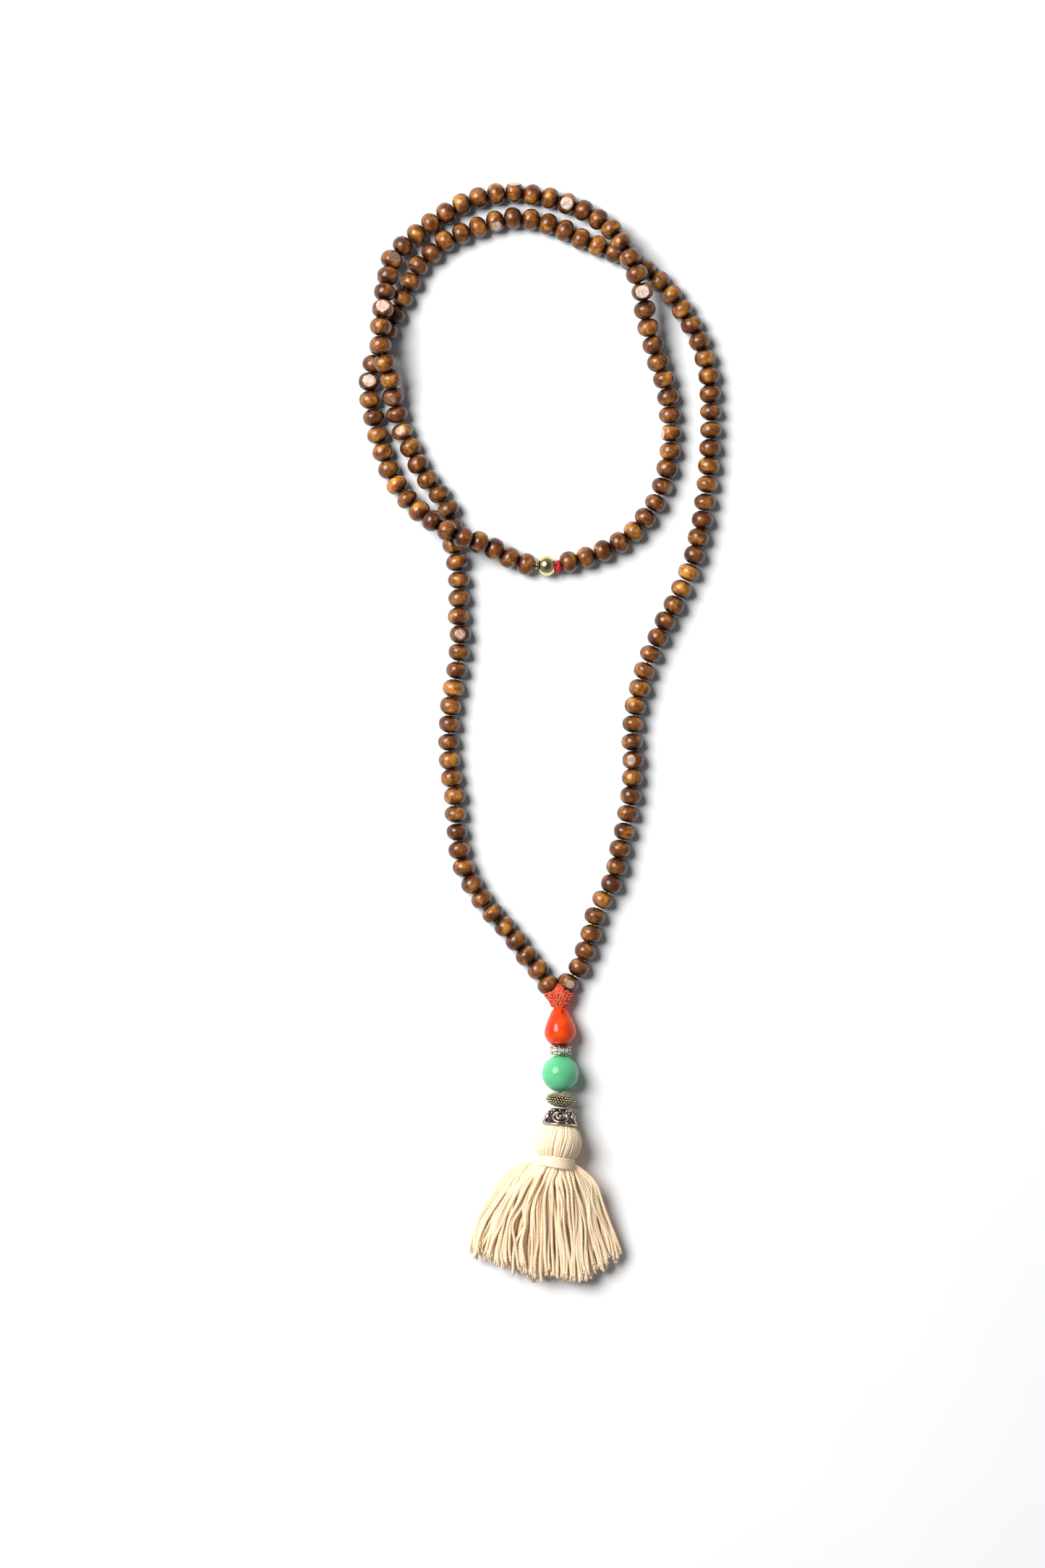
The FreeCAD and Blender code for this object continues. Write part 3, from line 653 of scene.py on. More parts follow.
def grind(points, number, rng):
    """Cut a bead's flat into its points; returns how much each one shows the bare wood."""
    degrees, lean, share, pale = FLATS[number]
    angle = math.radians(degrees)
    tip = math.radians(lean)
    out = np.array([math.cos(angle) * math.cos(tip), math.sin(angle) * math.cos(tip),
                    math.sin(tip)])
    above = points @ out - BEAD_WIDTH / 2 * (1 - 2 * share)
    ground = above > 0
    points[ground] -= np.outer(above[ground] * 0.985, out)
    rough = rng.normal(0, 0.018 * MM, ground.sum())
    points[ground] -= np.outer(np.abs(rough), out)
    return np.clip(above / (0.06 * MM), 0, 1) * pale


def press_pit(points, rng):
    """Press a small pit into a bead's points, near its top."""
    turn = rng.uniform(-0.7, 0.7)
    spot = np.array([math.cos(turn), math.sin(turn), rng.uniform(-0.4, 0.4)])
    spot *= BEAD_WIDTH / 2 / np.linalg.norm(spot)
    away = np.linalg.norm(points - spot, axis=1)
    points *= (1 - 0.05 * np.exp(-(away / (0.75 * MM)) ** 2))[:, None]


def bead_form(number, rng):
    """One bead in its own frame: local Z along the bore and local X upward."""
    points, faces = lathe(bead_profile(), BEAD_COLUMNS, unit=1.0)
    radius = np.hypot(points[:, 0], points[:, 1])
    turn = np.arctan2(points[:, 1], points[:, 0])
    level = points[:, 2] / (BEAD_LENGTH / 2)
    outer = np.clip((radius - 1.2 * MM) / (1.2 * MM), 0, 1)
    swell = np.zeros(len(points))
    for wave in (1, 2, 3, 5):
        phase, drift = rng.uniform(0, TAU, 2)
        swell += np.cos(wave * turn + phase + drift * level) / wave
    size = rng.normal(1.0, 0.014)
    points[:, :2] *= (size * (1 + 0.011 * swell * outer))[:, None]
    points[:, 2] += rng.normal(0, 0.03) * points[:, 0] * outer
    points[:, 2] *= rng.normal(0.99, 0.012)
    facet = grind(points, number, rng) if number in FLATS else np.zeros(len(points))
    if rng.random() < 0.16 or number in PITTED:
        press_pit(points, rng)
    return points, faces, facet, np.abs(level) ** 2


def lay_bead(strand, number, along, beside_fold):
    """A bead on the strand, leaning a little as a loose one does, and its wood's values."""
    rng = np.random.default_rng(7000 + number)
    points, faces, facet, ends = bead_form(number, rng)
    middle = strand.point(along)
    if beside_fold:
        points[:, 2] *= BESIDE_FOLD
        if middle[2] > RAISED:
            points[:, 2] *= BESIDE_FOLD
    turn = Quaternion((0, 0, 1), 0 if number in FLATS else rng.uniform(0, TAU))
    grain_turn = Quaternion(Vector(rng.normal(0, 1, 3)).normalized(), rng.uniform(0, TAU))
    grain = points @ np.array(grain_turn.to_matrix()).T + rng.uniform(-0.5, 0.5, 3)
    local = points @ np.array(turn.to_matrix()).T
    lean = Quaternion((1, 0, 0), rng.normal(0, 0.06))
    lean = lean @ Quaternion((0, 1, 0), rng.normal(0, 0.03))
    axes = strand.axes(along)
    aside = rng.normal(0, 0.2 * MM)
    if not beside_fold:
        local = local @ np.array(lean.to_matrix()).T
        middle = middle + axes[:, 1] * aside
    tone = TONES.get(number, float(rng.beta(1.8, 2.0)) * 0.85)
    # Painted shade: darker towards the bead's underside and sides, where less light falls, and
    # towards its ends, where neighbouring beads shade it and the end grain is darker.
    below = np.clip(1 - local[:, 0] / (BEAD_WIDTH / 2), 0, 1) ** 1.2
    shade_and_end_grain = 0.85 * np.maximum(ends, below)
    world = place(local, middle, axes)
    world[:, 2] = np.maximum(world[:, 2], 0.01 * MM)
    return world, faces, {"grain": grain, "tone": tone, "facet": facet, "shade_and_end_grain": shade_and_end_grain}


def make_beads(strand, runs, material):
    """Every wooden bead where its CAD solid is, one piece for each section of the strand."""
    number = 0
    for name in RUN_ORDER:
        soup = Soup()
        for along in runs[name]:
            beside_fold = along in (runs[name][0], runs[name][-1])
            points, faces, values = lay_bead(strand, number, along, beside_fold)
            soup.add(points, faces, **values)
            number += 1
        node = "beads_" + name
        finish_piece(soup.build("wood_" + node, material), name.split("_")[0], node)
    return number


# ================================================================ pieces on the strand
JOINTS = {joint["name"]: joint for joint in frame["joints"]}


def joint_frame(name):
    """A joint's place, and axes with local Z along the joint and local X upward."""
    forward = np.array(JOINTS[name]["axis"], float)
    forward /= np.linalg.norm(forward)
    upward = UP - forward * UP.dot(forward)
    upward /= np.linalg.norm(upward)
    axes = np.stack([upward, np.cross(forward, upward), forward], 1)
    return np.array(JOINTS[name]["pos_m"]), axes


def box_middle(node):
    """The middle of a CAD node's box."""
    low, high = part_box(node)
    return (np.array(low) + np.array(high)) / 2


def turned(profile, rows, columns):
    """A smooth turned form through (height, radius) pairs in millimetres."""
    return lathe(smooth_path([(radius, height) for height, radius in profile], rows), columns)


def ring_path(radius, height, count=96, wobble=0.0, tip=0.0):
    """A closed ring round local Z, its last point on its first."""
    turn = np.linspace(math.pi, math.pi + TAU, count)
    reach = radius * (1 + wobble * np.sin(3 * turn + 0.7))
    return np.stack([reach * np.cos(turn), reach * np.sin(turn),
                     height + tip * np.sin(turn)], 1)


def make_gold_bead(material):
    profile = [(-1.9, 0.95), (-3.0, 1.0), (-3.3, 1.3), (-3.12, 2.05), (-2.45, 2.95),
               (-1.3, 3.68), (0.0, 3.92), (1.3, 3.68), (2.45, 2.95), (3.12, 2.05),
               (3.3, 1.3), (3.0, 1.0), (1.9, 0.95)]
    points, faces = turned(profile, 72, 72)
    dent = np.exp(-((points[:, 0] - 2.2 * MM) ** 2 + (points[:, 1] - 2.8 * MM) ** 2)
                  / (1.1 * MM) ** 2)
    points = points * (1 - 0.012 * dent)[:, None]
    soup = Soup(*joint_frame("gold_bead_spin"))
    soup.add(points, faces, shade=0.0)
    finish_piece(soup.build("polished_gold_bead", material), "gold_bead", "gold_bead")


def make_marker(material):
    """A hard little knot of red thread: turns round the cord and a lump tied at its lower side."""
    spot = box_middle("marker_knot")
    rng = np.random.default_rng(31)
    soup = Soup(spot, strand.axes(strand.nearest(spot)))
    for height, radius in ((-0.34, 1.35), (0.34, 1.4)):
        path = ring_path(radius, height, 72, 0.03, rng.normal(0, 0.05))
        soup.add(*yarn(path, 0.38, twist=1.3), shade=0.2)
    heart = np.array([0.35, -1.35, 0.0])
    for _ in range(9):
        tilt = Quaternion(Vector(rng.normal(0, 1, 3)).normalized(), rng.uniform(0, TAU))
        path = ring_path(1.0, 0.0, 61, 0.05, rng.normal(0, 0.12))
        path = path @ np.array(tilt.to_matrix()).T
        path = path * np.array([1.55, 1.5, 1.12]) + heart + rng.normal(0, 0.12, 3)
        reach = np.hypot(path[:, 0], path[:, 1])
        room = 0.36 + np.clip(reach - 1.2, 0, None) ** 1.5 * 0.55
        path[:, 2] = np.clip(path[:, 2], -room, room)
        away = np.clip(1.15 / np.maximum(reach, 1e-6), 1, None)
        path[:, :2] *= away[:, None]
        soup.add(*yarn(path, 0.36, twist=1.4, sides=9), shade=float(rng.uniform(0.0, 0.35)))
    finish_piece(soup.build("red_marker_knot", material), "crossing", "marker_knot")


# ================================================================ pendant
STAR_MIDDLE = np.array([6.7, -99.9, 5.7])
# The rosette's outline from above, in millimetres: three points over a neck.
STAR_EDGE = [(6.9, -95.9), (8.3, -98.3), (11.7, -99.5), (9.9, -101.6), (9.4, -103.5),
             (3.9, -103.5), (3.6, -101.6), (1.4, -100.2), (5.1, -98.5)]


def star_reach(angle):
    """How far the rosette reaches from its middle in a direction seen from above."""
    edge = np.array(STAR_EDGE) - STAR_MIDDLE[:2]
    angles = np.arctan2(edge[:, 1], edge[:, 0])
    order = np.argsort(angles)
    return np.interp(angle, angles[order], np.linalg.norm(edge, axis=1)[order],
                     period=TAU)


# Rows of loops from the rim inward: their share of the outline's reach, and loops in each.
STAR_ROWS = ((0.93, 25), (0.70, 19), (0.44, 12), (0.18, 6))


def star_loop(share, angle, side, rng):
    """One arched loop of thread on the rosette's upper (1) or lower (-1) face."""
    reach = share * star_reach(angle)
    dome = 2.25 * math.sqrt(max(1 - (share * 0.93) ** 2, 0.02))
    out = np.array([math.cos(angle), math.sin(angle), 0.0])
    middle = STAR_MIDDLE + out * reach + UP * side * dome
    normal = out * share * 0.9 + UP * side * (1.05 - share * 0.7)
    normal /= np.linalg.norm(normal)
    along = np.cross(normal, (out[1], -out[0], 0.0))
    along /= np.linalg.norm(along)
    across = np.cross(normal, along)
    spin = rng.normal(0, 0.55)
    first = along * math.cos(spin) + across * math.sin(spin)
    second = np.cross(normal, first)
    size = rng.uniform(0.66, 0.86)
    return [middle + first * (math.cos(t) * size * 1.25) + second * (math.sin(t) * size * 0.8)
            + normal * (0.30 * math.cos(t * 0.9) + rng.uniform(-0.12, 0.05))
            for t in np.linspace(-2.2, 2.2, 13)]


def star_core(rows=19, columns=72):
    """The body of thread under the loops, coloured dark as painted shade between them."""
    turn = np.arange(columns) / columns * TAU
    outline = np.stack([np.cos(turn), np.sin(turn)], 1) * star_reach(turn)[:, None]
    points = []
    for lean in math.pi * (np.arange(rows) + 0.5) / rows:
        spread = outline * math.sin(lean) * 0.86 + STAR_MIDDLE[:2]
        height = STAR_MIDDLE[2] - 1.85 * math.cos(lean)
        points.append(np.column_stack([spread, np.full(columns, height)]))
    return np.concatenate(points) * MM, grid_faces(rows, columns, capped=True)


def make_star_knot(material):
    """A crocheted rosette: rows of thread loops that climb from the neck to three points."""
    rng = np.random.default_rng(52)
    soup = Soup()
    for ring, loops in STAR_ROWS:
        for index in range(loops):
            angle = TAU * (index + 0.5 * (ring > 0.8)) / loops + rng.normal(0, 0.05)
            share = ring + rng.normal(0, 0.03)
            for side in (1, -1):
                path = star_loop(share, angle, side, rng)
                points, faces = yarn(path, rng.uniform(0.38, 0.47), twist=1.6, sides=9, waist=0.6)
                soup.add(points, faces, shade=float(np.clip(rng.normal(0.22, 0.32), 0, 0.9)))
    # The core's dark colour is painted shade between the loops.
    soup.add(*star_core(), shade=0.9)
    finish_piece(soup.build("crochet_star_knot", material), "pendant", "star_knot")


# Heights from the star knot's end of the drop, and radii.
DROP_PROFILE = [(3.0, 0.95), (1.0, 0.98), (0.3, 1.1), (0.02, 1.6), (0.18, 2.25), (0.9, 2.9),
                (1.93, 3.5), (3.86, 4.4), (5.8, 5.25), (7.7, 5.85), (9.1, 6.1),
                (10.6, 5.95), (11.6, 5.55), (12.55, 4.92), (13.5, 4.05), (14.15, 3.3),
                (14.45, 2.5), (14.5, 1.6), (14.2, 1.05), (12.0, 0.95)]
DROP_MIDDLE = 6.82


def make_coral_drop(material):
    points, faces = turned([(height - DROP_MIDDLE, radius) for height, radius in DROP_PROFILE],
                           150, 128)
    rng = np.random.default_rng(17)
    turn = np.arctan2(points[:, 1], points[:, 0])
    level = points[:, 2] / MM
    radius = np.hypot(points[:, 0], points[:, 1]) / MM
    swell = sum(rng.normal(0, 0.010) * np.cos(k * turn + rng.uniform(0, TAU) + 0.2 * level)
                for k in (1, 2, 3))
    points[:, :2] *= (1 + swell)[:, None]
    pit = np.array([3.2, -1.05, 1.7 - DROP_MIDDLE]) * MM
    gap = (points - pit) / (np.array([9.0, 0.42, 0.62]) * MM)
    pitted = np.exp(-(gap ** 2).sum(1)) * (points[:, 0] > 0)
    points[:, 0] -= pitted * 0.45 * MM
    rim = np.clip((level - 6.55) / 0.3, 0, 1) * np.clip((radius - 2.0) / 0.4, 0, 1)
    soup = Soup(*joint_frame("coral_drop_spin"))
    # Painted shade darkens the pit; a band round the end next to the rondelle is darker too.
    soup.add(points, faces, shade=np.clip(1.6 * pitted + 0.7 * rim, 0, 1))
    finish_piece(soup.build("glossy_coral_drop", material), "coral_drop", "coral_drop")


STONE_COUNT = 8
STONE_CIRCLE = 3.1 * MM


def outward(turn):
    return np.array([math.cos(turn), math.sin(turn), 0.0])


def scalloped_rim(side):
    """One of the two flanges, waved so that it bows out over each stone."""
    profile = [(1.0, 1.22), (1.0, 1.66), (2.4, 1.72), (3.6, 1.68), (4.2, 1.45), (4.15, 1.2),
               (3.3, 1.18), (1.0, 1.22)]
    points, faces = lathe(smooth_path([(r, z * side) for r, z in profile], 36), 128)
    if side > 0:
        faces = [face[::-1] for face in faces]
    radius = np.hypot(points[:, 0], points[:, 1])
    edge = np.clip((radius - 2.4 * MM) / (1.7 * MM), 0, 1)
    scallop = np.cos(STONE_COUNT * np.arctan2(points[:, 1], points[:, 0]))
    points[:, :2] *= (1 + 0.035 * scallop * edge)[:, None]
    points[:, 2] += side * 0.16 * MM * (scallop - 1) * edge
    return points, faces, 0.5 * np.clip((3.4 * MM - radius) / (1.5 * MM), 0, 1)


def make_rondelle(metal, stone):
    """Two scalloped rims that hold a ring of cut stones between small claws."""
    rims, stones = (Soup(*joint_frame("rondelle_spin")) for _ in range(2))
    for side in (-1, 1):
        points, faces, deep = scalloped_rim(side)
        rims.add(points, faces, shade=deep)
    hub = [(1.0, -1.2), (2.1, -1.2), (2.1, 1.2), (1.0, 1.2), (1.0, -1.2)]
    rims.add(*lathe(hub, 48), shade=0.9)
    cut = [(0.30, -0.7), (0.98, 0.0), (1.09, 0.14), (1.09, 0.24), (0.84, 0.58), (0.50, 0.76)]
    for index in range(STONE_COUNT):
        turn = TAU * index / STONE_COUNT
        out = outward(turn)
        facing = np.stack([(-out[1], out[0], 0.0), UP, out], 1)
        points, faces = lathe(cut, 8, capped=True)
        stones.add(place(points, out * STONE_CIRCLE, facing), faces)
        points, faces = wire(ring_path(1.1, 0.1, 25), 0.11, sides=6)
        rims.add(place(points, out * STONE_CIRCLE, facing), faces, shade=0.1)
        claw = outward(turn + TAU / STONE_COUNT / 2) * 3.6 + np.outer(np.linspace(-1.3, 1.3, 7), UP)
        rims.add(*wire(claw, 0.24, sides=8), shade=0.25)
    finish_piece(rims.build("rondelle_rims", metal), "rondelle", "rondelle_ring")
    finish_piece(stones.build("rondelle_cut_stones", stone, smooth=False), "rondelle",
                 "rondelle_stones")


def make_green_bead(material):
    radius = 7.0
    profile = [(-4.0, 0.95), (-6.4, 0.98), (-6.72, 1.15), (-6.82, 1.55)]
    profile += [(-radius * math.cos(t), radius * math.sin(t))
                for t in np.linspace(0.29, math.pi - 0.29, 15)]
    profile += [(6.82, 1.55), (6.72, 1.15), (6.4, 0.98), (4.0, 0.95)]
    soup = Soup(*joint_frame("green_bead_spin"))
    soup.add(*turned(profile, 120, 128))
    finish_piece(soup.build("milky_green_bead", material), "green_bead", "green_bead")


GRANULE_ROWS = 9


def make_bicone(material):
    """A flat double cone covered with rows of small granules."""
    rng = np.random.default_rng(64)
    soup = Soup(*joint_frame("bicone_spin"))
    half = [(1.75, 2.4), (2.75, 2.15), (3.9, 1.58), (4.85, 0.85)]
    corners = [(radius, -height) for radius, height in half] + [(5.35, 0.0)] + half[::-1]
    meridian = smooth_path(corners, 61)
    profile = [(1.2, -2.1)] + [(r - 0.12, z * 0.95) for r, z in meridian]
    soup.add(*lathe(profile + [(1.2, 2.1), (1.2, -2.1)], 72), shade=1.0)
    lengths = lengths_along(meridian)
    for row in range(GRANULE_ROWS):
        along = lengths[-1] * (row + 0.42) / (GRANULE_ROWS - 0.16)
        radius, height = (np.interp(along, lengths, meridian[:, k]) for k in range(2))
        count = int(TAU * radius / 1.04)
        for index in range(count):
            turn = TAU * (index + 0.5 * (row % 2)) / count
            centre = np.array([radius * math.cos(turn), radius * math.sin(turn), height])
            centre += rng.normal(0, 0.05, 3)
            grain = rng.uniform(0.42, 0.49)
            points, faces = ball(centre, grain, 7, 10)
            out = centre * np.array([1, 1, 1.6])
            out /= np.linalg.norm(out)
            low = np.clip(0.5 - ((points / MM - centre) @ out) / grain, 0, 1)
            soup.add(points, faces, shade=low)
    for side in (-1, 1):
        soup.add(*wire(ring_path(1.6, side * 2.4, 49), 0.3), shade=0.2)
    finish_piece(soup.build("granulated_bicone_bead", material), "bicone", "granulated_bicone")


CAP_HEIGHT = 6.3
CAP_TOP = 3.4
CAP_RIM = 6.5
MOTIFS = 4


def on_cap(turn, height, out=0.0):
    """A point on the cap's flared wall, or out from it, in millimetres."""
    radius = CAP_TOP + (CAP_RIM - CAP_TOP) * (height / CAP_HEIGHT) ** 0.9 + out
    return np.array([radius * math.cos(turn), radius * math.sin(turn), height])


# One scroll from its outer end inward: degrees round its middle and millimetres from it.
SCROLL = [(115, 1.9), (150, 2.3), (180, 2.45), (225, 2.6), (270, 2.7), (320, 2.7), (360, 2.55),
          (400, 2.3), (435, 1.95), (475, 1.5), (515, 1.25), (560, 1.15), (630, 1.2), (690, 1.5),
          (730, 1.55), (765, 1.25)]
SCROLL_HEIGHT = 2.85


# The granules round one scroll: radians from it, height, distance out and radius.
GRANULES = [(-0.03, SCROLL_HEIGHT, 0.42, 0.66), (TAU / 8 - 0.17, 0.72, 0.30, 0.6),
            (TAU / 8 + 0.17, 0.80, 0.30, 0.58), (TAU / 8, 1.75, 0.12, 0.42),
            (TAU / 8 + 0.34, 5.3, 0.12, 0.45), (0.05, 0.62, -0.1, 0.42)]


def make_cap(material):
    """A flared cap with four spiral scrolls, paired granules between them and a wire rim."""
    soup = Soup(*joint_frame("bead_cap_spin"))
    outer = [(np.hypot(*on_cap(0, h)[:2]), h) for h in np.linspace(0.25, CAP_HEIGHT - 0.5, 22)]
    inner = [(r - 0.55, h + 0.25) for r, h in outer[::-1]]
    shell = [(1.1, 0.05), (CAP_TOP - 0.5, 0.0)] + outer
    shell += [(6.45, CAP_HEIGHT - 0.1), (6.1, CAP_HEIGHT - 0.1)] + inner
    soup.add(*lathe(shell + [(1.1, 0.6), (1.1, 0.05)], 96), shade=0.9)
    degrees, reaches = zip(*SCROLL)
    radius_here = np.hypot(*on_cap(0, SCROLL_HEIGHT)[:2])
    for motif in range(MOTIFS):
        middle = TAU * motif / MOTIFS
        scroll = []
        for degree in np.linspace(degrees[0], degrees[-1], 110):
            reach = np.interp(degree, degrees, reaches)
            across = reach * math.cos(math.radians(degree))
            down = -0.84 * reach * math.sin(math.radians(degree))
            scroll.append(on_cap(middle - across / radius_here, SCROLL_HEIGHT + down, 0.24))
        soup.add(*wire(scroll, 0.42), shade=0.0)
        for turn, height, out, radius in GRANULES:
            soup.add(*ball(on_cap(middle + turn, height, out), radius, 9, 14), shade=0.0)
    for path, radius, shade in ((ring_path(CAP_TOP - 0.35, 0.34, 73, 0.01), 0.3, 0.2),
                                (ring_path(CAP_RIM + 0.02, CAP_HEIGHT - 0.38, 121, 0.006, 0.03),
                                 0.38, 0.0),
                                (ring_path(1.5, 0.5, 49), 0.3, 0.2)):
        soup.add(*wire(path, radius), shade=shade)
    finish_piece(soup.build("scrolled_bead_cap", material), "bead_cap", "bead_cap")


# ================================================================ tassel
HEAD_WIDE = 9.1
HEAD_LONG = 8.2
HEAD_YARNS = 84
# The yarn over the core is pulled this far up into the cap.
DRAWN_UP = 0.7 * MM
# Furrows between its yarns: radians round the head from straight up, and how wide they part.
HEAD_GROOVES = ((-0.30, 0.03), (0.12, 0.05), (0.62, 0.015))


def tassel_frame(node):
    """The middle of a node of the tassel, drawn up, and axes with local Z along the tassel."""
    axes = joint_frame("bead_cap_spin")[1]
    return box_middle(node) - axes[:, 2] * DRAWN_UP, axes


def slight_shade(rng):
    return float(np.clip(rng.normal(0.0, 0.06), 0, 0.3))


def make_head(material):
    """The tassel's head: yarns drawn down all round a ball, from the cap to the neck."""
    rng = np.random.default_rng(88)
    soup = Soup(*tassel_frame("tassel_core_ball"))
    lining = [((HEAD_WIDE - 0.7) * math.sin(t), -(HEAD_LONG - 0.5) * math.cos(t))
              for t in np.linspace(0.5, 2.5, 30)]
    # The lining's darker colour is painted shade in the gaps between the yarns.
    soup.add(*lathe(lining, 64), shade=0.45)
    angles = np.cumsum(rng.uniform(0.75, 1.25, HEAD_YARNS))
    angles = angles / angles[-1] * TAU
    for groove, width in HEAD_GROOVES:
        away = (angles - groove + math.pi) % TAU - math.pi
        angles = angles + width * np.sign(away) * np.exp(-(away / 0.16) ** 2)
    for layer, sink in ((0, 0.0), (1, 0.38)):
        for angle in angles + layer * TAU / HEAD_YARNS / 2:
            drift = rng.normal(0, 0.03)
            bow = rng.normal(0, 0.035)
            lift = rng.uniform(-0.16, 0.08) - sink
            path = []
            for t in np.linspace(0.48, 2.52, 64):
                turn = angle + drift * (t - 1.5) + bow * math.sin(t * 2.2) + 0.12 * (t - 1.2)
                wide = (HEAD_WIDE - 0.5 + lift) * math.sin(t)
                deep = -(HEAD_LONG - 0.3 + lift) * math.cos(t)
                if t > 2.1:
                    wide = max(wide, 5.6 + lift * 0.4)
                path.append((wide * math.cos(turn), wide * math.sin(turn), deep))
            points, faces, deep = twisted(path, rng.uniform(0.50, 0.60),
                                          twist=rng.uniform(1.9, 2.5),
                                          phase=rng.uniform(0, TAU), waist=0.8)
            # The under layer and the grooves between plies are darker: painted shade; the rest is
            # tone that differs at random.
            soup.add(points, faces, shade=slight_shade(rng) + 0.25 * layer + 0.25 * deep)
    finish_piece(soup.build("tassel_head_yarns", material), "tassel", "tassel_head_yarn")


def make_binding(material):
    """Turns of cotton wound tight round the tassel's neck."""
    rng = np.random.default_rng(91)
    soup = Soup(*tassel_frame("neck_binding"))
    lining = [(5.65, -2.0), (6.5, -2.0), (6.6, 0.0), (6.5, 2.0), (5.65, 2.0), (5.65, -2.0)]
    # The lining's darker colour is painted shade under the turns.
    soup.add(*lathe(lining, 72), shade=0.7)
    for turn in range(12):
        path = ring_path(6.6 + 0.10 * math.sin(turn * 2.1), -1.85 + 3.7 * turn / 11, 90, 0.010,
                         rng.normal(-0.75, 0.25))
        points, faces = yarn(path, 0.34, twist=4.2, sides=9, phase=rng.uniform(0, TAU), waist=0.9)
        soup.add(points, faces, shade=slight_shade(rng))
    finish_piece(soup.build("neck_binding_turns", material), "tassel", "neck_binding")


# The skirt's outline seen from above, in millimetres: the lines that the outermost yarns
# take on the left and on the right, and where the yarns end along the hem between them.
LEFT_LINE = [(-0.6, -163.9), (-11.0, -162.5), (-25.5, -178.5), (-27.0, -195.6)]
RIGHT_LINE = [(12.4, -165.4), (18.5, -166.5), (24.5, -183.0), (28.6, -196.8)]
HEM = [(-27.0, -195.6), (-20.4, -199.0), (-12.7, -202.4), (-7.4, -203.8), (-1.9, -206.6),
       (4.1, -205.6), (13.0, -208.0), (20.8, -204.8), (25.4, -201.0), (28.6, -196.8)]
NECK_MIDDLE = 5.9
# A small opening between the uppermost yarns.
HOLE = (-8.6, -186.5)
YARN_RADIUS = 0.64
YARN_STEPS = 170
PLAN_STEPS = 150
# From the top: each layer's name, its yarns, how high they lie and how much longer they are.
SKIRT_LAYERS = [("top", 84, 0.93, 0.0), ("upper", 84, 0.72, 0.2), ("lower", 60, 0.36, 0.5),
                ("under", 50, 0.10, 0.8)]


class SkirtSpace:
    """How high the CAD skirt's underside and top are at a place on the table."""

    def __init__(self):
        mesh = frame["nodes"]["tassel_skirt"].data
        self.tree = BVHTree.FromPolygons([v.co for v in mesh.vertices],
                                         [p.vertices for p in mesh.polygons])
        low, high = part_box("tassel_skirt")
        self.foot = low.y
        self.head = high.y
        self.middle = (low.x + high.x) / 2

    def span(self, x, y):
        """Low and high z in millimetres; beyond the skirt's edge, a thin layer on the table."""
        y = min(max(y * MM, self.foot + 2.5 * MM), self.head - 0.2 * MM)
        inward = self.middle - x * MM
        for step in range(13):
            spot = Vector((x * MM + inward * 0.02 * step, y, 0.1))
            hit = self.tree.ray_cast(spot, Vector((0, 0, -1)))[0]
            if hit is not None:
                under = self.tree.ray_cast(Vector((spot.x, spot.y, -0.1)), Vector((0, 0, 1)))[0]
                return under.z / MM, hit.z / MM
        return 0.1, 3.0


def bezier(corners, t):
    a, b, c, d = (np.asarray(corner, float) for corner in corners)
    t = np.asarray(t)[:, None]
    return ((1 - t) ** 3 * a + 3 * t * (1 - t) ** 2 * b + 3 * t ** 2 * (1 - t) * c
            + t ** 3 * d)


def hem_point(share):
    """A point on the hem, from 0 at its left end to 1 at its right end."""
    edge = np.array(HEM)
    lengths = lengths_along(edge)
    where = share * lengths[-1]
    return np.array([np.interp(where, lengths, edge[:, k]) for k in range(2)])


def skirt_filling(space):
    """The mass of yarn inside the skirt, as one soft body that the loose yarns lie on."""
    lines = []
    columns = [(share, 0.58) for share in np.linspace(0.015, 0.985, 40)]
    columns += [(share, 0.26) for share in np.linspace(0.985, 0.015, 40)]
    rows = 40
    for share, level in columns:
        corners = np.array(LEFT_LINE) * (1 - share) + np.array(RIGHT_LINE) * share
        corners[3] = hem_point(share)
        line = []
        for x, y in bezier(corners, np.linspace(0.03, 0.90, rows)):
            low, high = space.span(x, y)
            line.append((x, y, low + 0.3 + max(high - low - 0.6, 0.2) * level))
        line = np.array(line)
        line[:, 2] = smoothed(line[:, 2], 4)
        lines.append(line)
    points = np.swapaxes(np.array(lines), 0, 1).reshape(-1, 3)
    return points * MM, grid_faces(rows, len(columns), capped=True)


def yarn_plan(layer, share, longer, wave, rng):
    """One yarn's course seen from above; share is 0 at the left edge and 1 at the right."""
    t = np.linspace(0.0, 1.0, PLAN_STEPS)
    across = float(np.clip(share + rng.normal(0, 0.03), 0, 1))
    corners = np.array(LEFT_LINE) * (1 - share) + np.array(RIGHT_LINE) * share
    corners[0, 0] = NECK_MIDDLE + (corners[0, 0] - NECK_MIDDLE) * (1.0 - 0.10 * layer)
    corners[0, 1] += 1.6
    corners[3] = hem_point(across)
    corners[3, 1] += -longer + rng.normal(0, 0.9) + abs(rng.normal(0, 1.1)) - 0.6
    for corner, spread in ((1, 0.7), (2, 0.9), (3, 0.7)):
        corners[corner, 0] += rng.normal(0, spread)
    flat = bezier(corners, t)
    sway = (0.75 * np.sin(t * 6 + wave[1] + share * 9)
            + 0.4 * np.sin(t * 13 + wave[2] + share * 23)
            + rng.normal(0, 0.34) * np.sin(t * rng.uniform(7, 15) + rng.uniform(0, TAU)))
    flat[:, 0] += sway * np.clip(t * 2.5, 0, 1)
    flat[:, 0] += 0.6 * np.sin(share * TAU * 6 + wave[3]) * np.clip(t * 1.6 - 0.4, 0, 1)
    if layer == 0:
        away = flat - np.array(HOLE)
        near = np.exp(-(away[:, 0] / 3.0) ** 2 - (away[:, 1] / 5.5) ** 2)
        push = 1.0 if away[np.argmin(np.abs(away[:, 1])), 0] > 0 else -1.0
        flat[:, 0] += push * near * 1.9
    return flat


